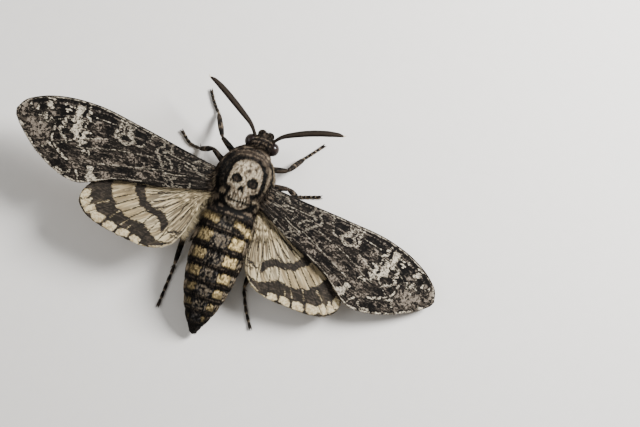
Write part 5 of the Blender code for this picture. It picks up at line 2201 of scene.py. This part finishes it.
    def dress_feelers(self, look: Material) -> None:
        """Thick ringed feelers that thin to a pale hooked tip.

        Args:
            look: the material.
        """
        for side, path in ((Side.LEFT, self.feeler_left), (Side.RIGHT, self.feeler_right)):
            name = "antenna_" + side.letter
            strand = Strand(path, self.feeler_radii, 0.85)
            mesh, share, around = sleeve(name, 420, 28)
            phase = (share * self.feeler_joints) % 1.0
            step = ease(phase, 0.0, 0.75) - ease(phase, 0.86, 1.0)
            body = ease(share, 0.1, 0.2) * ease(share, 0.97, 0.9)
            lower = ease(np.cos(around - math.radians(-55.0)), 0.1, 0.8)
            points, _ = strand.surface(share, around, (0.05 + 0.07 * lower) * (step - 0.5) * body)
            crest = 1 - ease(phase, 0.8, 0.9) * body
            # A paler stripe along each feeler's top is a painted highlight, and its lower, toothed face is kept
            # black as painted shade.
            top = ease(np.sin(around), 0.85, 0.99) * body
            colour = blend_colours(plain(BLACK, len(points)), UMBER, crest * (1 - lower))
            colour = blend_colours(colour, BROWN, top * crest * (0.3 + 0.6 * ripple(points, 0.5, 4.0)))
            colour = blend_colours(colour, BONE, ease(share, 0.945, 0.965))
            store_colours(mesh, colour)
            store_values(mesh, "band", np.ones(len(points)))
            place_vertices(mesh, points)
            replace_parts(add_piece(name + "_horn", mesh, look), name)


def join_strands(name: str, parts: list) -> Mesh:
    """Join the strands of a leg in one mesh, none of them below the floor.

    Args:
        name: the mesh's name.
        parts: which part of the leg each strand is, the strand, and the rings and
            corners of its mesh.

    Returns:
        The mesh.
    """
    build = bmesh.new()
    for part, strand, rows, sides in parts:
        mesh, share, around = sleeve("part", rows, sides)
        points, _ = strand.surface(share, around)
        points[:, 2] = np.maximum(points[:, 2], LOWEST)
        store_colours(mesh, leg_colours(part, share, points))
        store_values(mesh, "band", np.zeros(len(points)))
        place_vertices(mesh, points)
        build.from_mesh(mesh)
        bpy.data.meshes.remove(mesh)
    return new_mesh(name, build)


def leg_colours(part: LegPart, share: np.ndarray, points: np.ndarray) -> np.ndarray:
    """Dark legs with a pale patch on the shin and a pale ring at each toe joint.

    Args:
        part: the part of the leg.
        share: share of the part's length.
        points: places, for the noise.

    Returns:
        A colour for each place.
    """
    if part is LegPart.CLAW:
        return plain(UMBER, len(points))
    noise = ripple(points, 0.5, 9.0)
    colour = blend_colours(plain(BLACK, len(points)), BROWN, ease(noise, 0.45, 0.65))
    if part is LegPart.SHIN:
        patch = ease(share, 0.3, 0.38) * ease(share, 0.62, 0.5)
        colour = blend_colours(colour, DUN, patch * ease(noise, 0.3, 0.6))
        colour = blend_colours(colour, BUFF, ease(share, 0.9, 0.94) * 0.5)
    if part is LegPart.FOOT:
        phase = (share * 5) % 1.0
        colour = blend_colours(colour, BUFF, ease(phase, 0.3, 0.16) * ease(share, 0.0, 0.1) * 0.85)
    return colour


def thorn(start: np.ndarray, middle: np.ndarray, tip: np.ndarray, radii: tuple) -> Strand:
    """A pointed strand through three points."""
    return Strand((tuple(start), tuple(middle), tuple(tip)), ((0.0, 0.0), *radii, (1.0, 0.0)))


@dataclass(frozen=True)
class Leg:
    """One leg: thigh, shin, five toe joints and claws.

    Attributes:
        node: the CAD node that it replaces.
        hip, knee, ankle, bend, end: points of its path.
        spurs: how long each spur of the shin is, or nothing where it has none.
        toes: heights of the ankle and of the ends of the toe joints.
    """

    node: str
    hip: tuple
    knee: tuple
    ankle: tuple
    bend: tuple
    end: tuple
    spurs: tuple = (1.9, 1.5)
    toes: tuple = (0.9, 0.42, 0.42, 0.42, 0.42, 0.42)

    def thigh(self) -> Strand:
        """The thigh, from the body to the knee."""
        radii = ((0.0, 0.0), (0.03, 0.66), (0.25, 0.84), (0.6, 0.86), (0.88, 0.66), (0.97, 0.48), (1.0, 0.0))
        return Strand((self.hip, self.knee), radii, level=True)

    def shin(self) -> Strand:
        """The shin, from the knee to the ankle."""
        radii = ((0.0, 0.0), (0.03, 0.42), (0.12, 0.58), (0.4, 0.8), (0.8, 0.7), (0.95, 0.46), (1.0, 0.0))
        return Strand((self.knee, self.ankle), radii, level=True)

    def foot(self) -> Strand:
        """Five toe joints that lie on the floor.

        Returns:
            The strand, thicker at the end of each joint.
        """
        line = curve_at((self.ankle, self.bend, self.end), np.linspace(0.0, 1.0, len(self.toes)))
        path = tuple((p[0], p[1], z) for p, z in zip(line, self.toes))
        radii = [(0.0, 0.0), (0.01, 0.3)]
        for joint in range(5):
            radii += [((joint + 0.12) / 5, 0.28), ((joint + 0.5) / 5, 0.38), ((joint + 0.92) / 5, 0.47)]
        return Strand(path, (*radii, (1.0, 0.0)), 0.95, True)

    def extras(self) -> list:
        """Claws and spurs.

        Returns:
            A strand for each of them.
        """
        ankle, end = np.array(self.ankle), np.array(self.end)
        way = unit((end - np.array(self.bend)) * np.array((1.0, 1.0, 0.0)))
        across = np.array((-way[1], way[0], 0.0))
        raised = np.array((0.0, 0.0, 0.12))
        found = []
        for sign in (-1.0, 1.0):
            start = end - 0.3 * way + sign * 0.1 * across
            bow = end + 0.5 * way + sign * 0.32 * across + raised
            tip = end + 0.817 * way + sign * 0.46 * across
            tip[2] = 0.06
            found.append(thorn(start, bow, tip, ((0.05, 0.17), (0.6, 0.11))))
        for sign, reach in zip((-1.0, 1.0), self.spurs):
            tip = ankle + reach * (0.8 * way + 0.45 * sign * across)
            tip[2] = 0.3
            middle = (ankle + tip) / 2 + raised
            found.append(thorn(ankle - 0.2 * way, middle, tip, ((0.06, 0.17), (0.6, 0.12))))
        return found

    def dress(self, look: Material, horn: Material) -> None:
        """Make the leg's skin and its horn.

        Args:
            look: the material of the skin.
            horn: the material of claws and spurs.
        """
        parts = [(LegPart.THIGH, self.thigh(), 40, 28), (LegPart.SHIN, self.shin(), 44, 28),
                 (LegPart.FOOT, self.foot(), 120, 20)]
        skin = join_strands(self.node, parts)
        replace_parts(add_piece(self.node + "_skin", skin, look), self.node)
        parts = [(LegPart.CLAW, strand, 18, 12) for strand in self.extras()]
        claws = join_strands(self.node + "_claws", parts)
        add_piece(self.node + "_claws", claws, horn)

    def coat_roots(self, number: int) -> list:
        """Roots of the leg's fur.

        Args:
            number: which leg it is, from 0.

        Returns:
            Pairs of a part of the leg and its roots.
        """
        left = number / len(LEGS)
        parts = ((LegPart.THIGH, self.thigh(), 0.2), (LegPart.SHIN, self.shin(), 0.17),
                 (LegPart.FOOT, self.foot(), 0.16))
        bands = len(LEGS) * len(parts)
        found = []
        for part, strand, spacing in parts:
            chart = (left + part.value / bands, left + (part.value + 0.9) / bands)
            seed = 200 + number * len(parts) + part.value
            found.append((part, strand_roots(strand, (0.04, 0.985), spacing, seed, chart)))
        return found


LEGS = (
    Leg("leg_fore_l", (3.4, -4.4, 5.6), (9.7, -8.5, 5.4), (13.3, -14.5, 0.9), (15.2, -16.6, 0.42),
        (17.2, -19.6, 0.4), ()),
    Leg("leg_fore_r", (-3.4, -4.0, 5.6), (-10.0, -5.7, 5.4), (-12.9, -10.4, 0.9), (-15.0, -13.1, 0.42),
        (-16.8, -15.5, 0.4), ()),
    Leg("leg_mid_l", (4.4, -0.6, 5.2), (11.0, -4.8, 6.0), (14.7, -3.7, 0.9), (18.0, -4.2, 0.42),
        (21.0, -6.5, 0.4)),
    Leg("leg_mid_r", (-4.4, 0.4, 5.2), (-11.8, -1.2, 6.0), (-14.6, 0.0, 0.9), (-17.4, -1.0, 0.42),
        (-20.5, -2.1, 0.4)),
    Leg("leg_hind_l", (4.5, 4.8, 5.0), (10.6, 14.6, 5.8), (10.9, 28.6, 0.9), (11.2, 34.2, 0.42),
        (11.5, 40.6, 0.4)),
    Leg("leg_hind_r", (-4.5, 4.8, 5.0), (-9.9, 13.8, 5.8), (-9.2, 28.4, 0.9), (-11.4, 33.4, 0.42),
        (-14.4, 38.1, 0.4)))


def shoulder_colours(points: np.ndarray) -> np.ndarray:
    """Dark hair with pale locks among it."""
    locks = ripple(points * np.array((1.0, 0.5, 1.0)), 0.55, 14.0)
    return blend_colours(plain(UMBER, len(points)), BUFF, ease(locks, 0.5, 0.68) * 0.5)


@dataclass(frozen=True)
class Sweep:
    """How hair on both sides of the trunk is combed outwards.

    Attributes:
        keep: how much it still follows the body.
        out: how much it turns outwards.
        up: how much it turns upwards.
        press: how flat it lies on the skin, 1 at the flattest.
    """

    keep: float
    out: float
    up: float
    press: float


@dataclass(frozen=True)
class TrunkCoat:
    """One coat of the trunk.

    Attributes:
        name: the piece's name.
        y_range: first and last y.
        turns: first and last angle in degrees, counted from the left side up.
        fur: how its tufts grow.
        seed: start of the random draws.
        slot: the record's slot.
        sweep: how it is combed, where it grows in the same way on both sides only.
        colours: its markings, where they aren't the trunk's own.
        forward: y before which its tufts lie forwards.
        round_eyes: whether it leaves the eyes clear.
    """

    name: str
    y_range: tuple
    turns: tuple
    fur: Fur
    seed: int
    slot: Slot = Slot.COAT_DARK
    sweep: Sweep | None = None
    colours: Colouring | None = None
    forward: float = -math.inf
    round_eyes: bool = False

    def roots(self, trunk: Trunk, head: Head) -> Roots:
        """Where its tufts grow.

        Args:
            trunk: the trunk that carries it.
            head: the head, whose eyes it may leave clear.

        Returns:
            The roots.
        """
        if self.sweep:
            low, high = self.turns
            sides = ((1.0, (low, high)), (-1.0, (180.0 - high, 180.0 - low)))
            return join_roots([self.swept(trunk, sign, turns) for sign, turns in sides])
        roots = trunk_roots(trunk, self.y_range, self.turns, self.fur.spacing, self.seed)
        roots.lie[roots.places[:, 1] < self.forward] *= -1.0
        return roots.keep(head.clear_of_eyes(roots.places)) if self.round_eyes else roots

    def swept(self, trunk: Trunk, sign: float, turns: tuple) -> Roots:
        """Roots of combed hair on one side.

        Args:
            trunk: the trunk.
            sign: the side's sign of x.
            turns: first and last angle in degrees there.

        Returns:
            The roots.
        """
        comb = self.sweep
        roots = trunk_roots(trunk, self.y_range, turns, self.fur.spacing, self.seed)
        lie = unit(roots.lie * comb.keep + np.array((sign * comb.out, 0.0, comb.up)))
        roots.lie = unit(lie - comb.press * np.sum(lie * roots.out, axis=1)[:, None] * roots.out)
        return roots


TRUNK_COATS = (
    TrunkCoat("thorax_back_fur", (-7.6, 9.6), (-8.0, 188.0), Fur(1.0, 0.2, 15.0, 12.0, 0.165, 1.4), 1),
    TrunkCoat("waist_fur", (7.6, 10.4), (-20.0, 200.0), Fur(1.9, 0.22, 6.0, 20.0, 0.24), 6),
    TrunkCoat("thorax_under_fur", (-7.6, 9.6), (188.0, 352.0), Fur(1.7, 0.28, 20.0, 16.0, 0.25, 1.5), 2),
    TrunkCoat("shoulder_hair", (0.5, 9.0), (4.0, 40.0), Fur(2.7, 0.2, 16.0, 16.0, 0.3, 1.5), 7,
              sweep=Sweep(0.75, 0.7, -0.1, 1.0), colours=shoulder_colours),
    TrunkCoat("flank_hair", (8.6, 19.0), (-8.0, 26.0), Fur(2.3, 0.18, 10.0, 16.0, 0.27, 1.4), 9,
              Slot.COAT_BANDED, Sweep(0.8, 0.6, 0.0, 0.6)),
    TrunkCoat("abdomen_back_fur", (9.0, 44.0), (-12.0, 192.0), Fur(1.05, 0.24, 14.0, 14.0, 0.235, 1.4), 3,
              Slot.COAT_BANDED),
    TrunkCoat("abdomen_under_fur", (9.0, 44.0), (192.0, 348.0), Fur(1.15, 0.32, 9.0, 10.0, 0.33, 1.35), 4,
              Slot.COAT_BANDED),
    TrunkCoat("brow_fur", (-12.6, -11.0), (20.0, 160.0), Fur(1.7, 0.18, 14.0, 12.0, 0.19), 8, forward=-10.0),
    TrunkCoat("head_fur", (-12.35, -7.5), (0.0, 360.0), Fur(1.05, 0.18, 26.0, 14.0, 0.17, 1.6), 5,
              forward=-11.5, round_eyes=True))


def dress_trunk(trunk: Trunk, head: Head, coat: Coat) -> None:
    """The trunk's skin and its coats.

    Args:
        trunk: the trunk.
        head: the head.
        coat: the maker of coats.
    """
    trunk.dress(coat.look)
    for part in TRUNK_COATS:
        colours = part.colours or trunk.colours
        coat.dress(part.name, part.roots(trunk, head), part.fur, part.seed, colours, part.slot)


@dataclass(frozen=True)
class WingCoat:
    """Fringe and hair of a forewing or a hindwing.

    Attributes:
        hair: how the hair at the wing's root grows.
        reach: share of the wing that the hair fills.
        count: tufts of hair.
        locks: the hair's two colours, and the noise between which one turns into the
            other.
        pale: the fringe's pale colour, and how much of it shows everywhere.
        slot: the record's slot.
        fringe: how the fringe grows.
    """

    hair: Fur
    reach: float
    count: int
    locks: tuple
    pale: tuple
    slot: Slot
    fringe: Fur = Fur(0.62, 0.2, 2.0, 10.0, 0.11)

    def hair_colours(self, places: np.ndarray) -> np.ndarray:
        """Streaked hair at a wing's root."""
        dark, bright, low, high = self.locks
        return blend_colours(plain(dark, len(places)), bright, ease(ripple(places, 0.5, 15.0), low, high))

    def fringe_colours(self, marks: WingMarks, flat: np.ndarray) -> np.ndarray:
        """Dark fringe, pale where it starts at a pale mark."""
        share = np.maximum(ease(nearest(marks.pale, flat), 0.8, 0.1), self.pale[1])
        return blend_colours(plain(UMBER, len(flat)), self.pale[0], share)


FORE_COAT = WingCoat(Fur(2.0, 0.17, 9.0, 14.0, 0.2), 0.07, 700, (UMBER, DUN, 0.45, 0.65), (BUFF, 0.0),
                     Slot.SCALES_DARK)
HIND_COAT = WingCoat(Fur(3.0, 0.17, 5.0, 8.0, 0.2), 0.3, 2600,
                     ((0.09, 0.07, 0.045), (0.5, 0.41, 0.25), 0.36, 0.56), ((0.5, 0.42, 0.27), 0.12),
                     Slot.SCALES_PALE)


def inner_hair(wing: Wing, number: int, coat: Coat) -> None:
    """The long hair along a hindwing's inner edge, dimmed and darkest at its tips as painted shade between the wing
    and the abdomen.

    Args:
        wing: the hindwing.
        number: which wing it is, from 0.
        coat: the maker of coats.
    """
    edge, _ = wing.margin_roots(0.05, 340 + number)
    s, t = edge.chart.T
    edge = edge.keep((t > 0.99) & (s > 0.04) & (s < 0.6))
    # The hair is real, but its dimming to 0.45 and its tips darker than its roots are painted shade in the gap
    # towards the abdomen.
    tones = HIND_COAT.hair_colours(edge.places) * 0.45
    fur = Fur(2.3, 0.17, 3.0, 22.0, 0.1)
    coat.dress_by_root(wing.node + "_inner_hair", edge, fur, 350, tones, -0.5)


def dress_wings(effects: SharedEffects, coat: Coat) -> None:
    """Four wings with the fringe and hair of each.

    Args:
        effects: the shared node groups.
        coat: the maker of coats.
    """
    fore_look = ForewingFinish().build(effects)
    hind_look = HindwingFinish().build(effects)
    for number, (fore, wing) in enumerate(wings()):
        kind = FORE_COAT if fore else HIND_COAT
        wing.dress(fore_look if fore else hind_look, kind.slot)
        roots, flat = wing.margin_roots(kind.fringe.spacing, 300 + number)
        coat.dress_by_root(wing.node + "_fringe", roots, kind.fringe, 310 + number,
                           kind.fringe_colours(wing.marks, flat), 0.0)
        if not fore:
            inner_hair(wing, number, coat)
        roots = wing.hair_roots(kind.reach, kind.count, 320 + number)
        coat.dress_by_root(wing.node + "_hair", roots, kind.hair, 330 + number,
                           kind.hair_colours(roots.places), 0.4)


def dress_legs(coat: Coat, horn: Material) -> None:
    """Six legs and their short fur.

    Args:
        coat: the maker of coats.
        horn: the material of claws and spurs.
    """
    groups, colours = [], []
    for number, leg in enumerate(LEGS):
        leg.dress(coat.look, horn)
        for part, roots in leg.coat_roots(number):
            groups.append(roots)
            colours.append(leg_colours(part, roots.chart[:, 1], roots.places))
    tones = np.repeat(np.concatenate(colours), len(coat.share), axis=0)
    fur = Fur(0.55, 0.16, 14.0, 10.0, 0.17)
    mesh, points, share, shade = coat.grow("leg_fur", join_roots(groups), fur, 230)
    points[:, 2] = np.maximum(points[:, 2], LOWEST)
    mesh.vertices.foreach_set("co", to_frame(points).ravel())
    store_colours(mesh, tones * (shade * (1.0 + 0.5 * share))[:, None])
    add_piece("leg_fur", mesh, coat.look)


@dataclass(frozen=True)
class Studio:
    """Pale floor, soft lights and the camera straight above the moth.

    Attributes:
        lens: focal length in millimetres.
        camera_at: the camera's place in the frame, in metres.
        right: the picture's right in the frame.
        up: the picture's up in the frame.
        sensor: width of the sensor in millimetres.
        floor: half the floor's side in metres.
        aim: height above the floor that the lamps point at, in metres.
        sky: colour of the light from all round.
        sky_power: how strong that light is.
    """

    lens: float = 64.0
    camera_at: tuple = (-0.02329, -0.00916, 0.31287)
    right: tuple = (-0.9426, -0.3338, 0.0)
    up: tuple = (0.3338, -0.9426, 0.0)
    sensor: float = 36.0
    floor: float = 0.9
    aim: float = 0.008
    sky: tuple = (1.0, 0.99, 0.97, 1.0)
    sky_power: float = 0.34

    def place_camera(self) -> None:
        """Set the camera to look straight down in the picture's turn."""
        data = bpy.data.cameras.new("camera")
        data.lens = self.lens
        data.sensor_width = self.sensor
        camera = put_in_scene("camera", data)
        back = Vector(self.right).cross(Vector(self.up))
        turn = Matrix((self.right, self.up, back)).transposed().to_4x4()
        camera.matrix_world = Matrix.Translation(self.camera_at) @ turn
        bpy.context.scene.camera = camera

    def lay_floor(self) -> None:
        """A plain pale floor."""
        build = bmesh.new()
        bmesh.ops.create_grid(build, x_segments=1, y_segments=1, size=self.floor)
        floor = put_in_scene("floor", new_mesh("floor", build))
        paper = bpy.data.materials.new("pale_paper")
        paper.use_nodes = True
        t = Tree(paper.node_tree)
        shader = paper.node_tree.nodes["Principled BSDF"]
        grain = t.noise(t.place(), 300.0, 3.0, 0.5)
        colour = t.mix(grain, (0.60, 0.58, 0.55), (0.63, 0.61, 0.58))
        t.feed(shader, {"Base Color": colour, "Roughness": 0.9})
        floor.data.materials.append(paper)

    def lamp(self, name: str, aside: float, ahead: float, height: float, power: float, size: float) -> None:
        """A soft square lamp, placed towards the picture's right and top.

        Args:
            name: the lamp's name.
            aside: metres towards the picture's right.
            ahead: metres towards the picture's top.
            height: metres above the floor.
            power: watts.
            size: side of the square in metres.
        """
        data = bpy.data.lights.new(name, "AREA")
        data.energy = power
        data.size = size
        lamp = put_in_scene(name, data)
        lamp.location = Vector(self.right) * aside + Vector(self.up) * ahead + Vector((0.0, 0.0, height))
        towards = Vector((0.0, 0.0, self.aim)) - lamp.location
        lamp.rotation_euler = towards.to_track_quat("-Z", "Y").to_euler()

    def build(self) -> None:
        """Make the floor, lamps, sky and camera."""
        self.place_camera()
        self.lay_floor()
        self.lamp("key", 0.30, 0.16, 0.24, 7.0, 0.14)
        self.lamp("fill", -0.30, 0.10, 0.34, 1.0, 0.35)
        world = bpy.data.worlds.new("soft_sky")
        world.use_nodes = True
        Tree(world.node_tree).feed(world.node_tree.nodes["Background"], {0: self.sky, 1: self.sky_power})
        bpy.context.scene.world = world


def main() -> None:
    """Dress the moth and light it."""
    logging.basicConfig(level=logging.INFO, format="%(name)s: %(message)s")
    Studio().build()
    effects = SharedEffects()
    coat = Coat(CoatFinish("moth_fur").build(effects))
    horn = HornFinish("dark_horn", 0.4, 0.16).build(effects)
    head = Head()
    dress_trunk(Trunk(), head, coat)
    head.dress_eyes(EyeFinish().build(effects))
    head.dress_palps(coat)
    head.dress_tongue(horn)
    head.dress_feelers(HornFinish("feeler_horn", 0.66, 0.04).build(effects))
    dress_wings(effects, coat)
    dress_legs(coat, horn)


if __name__ == "__main__":
    main()
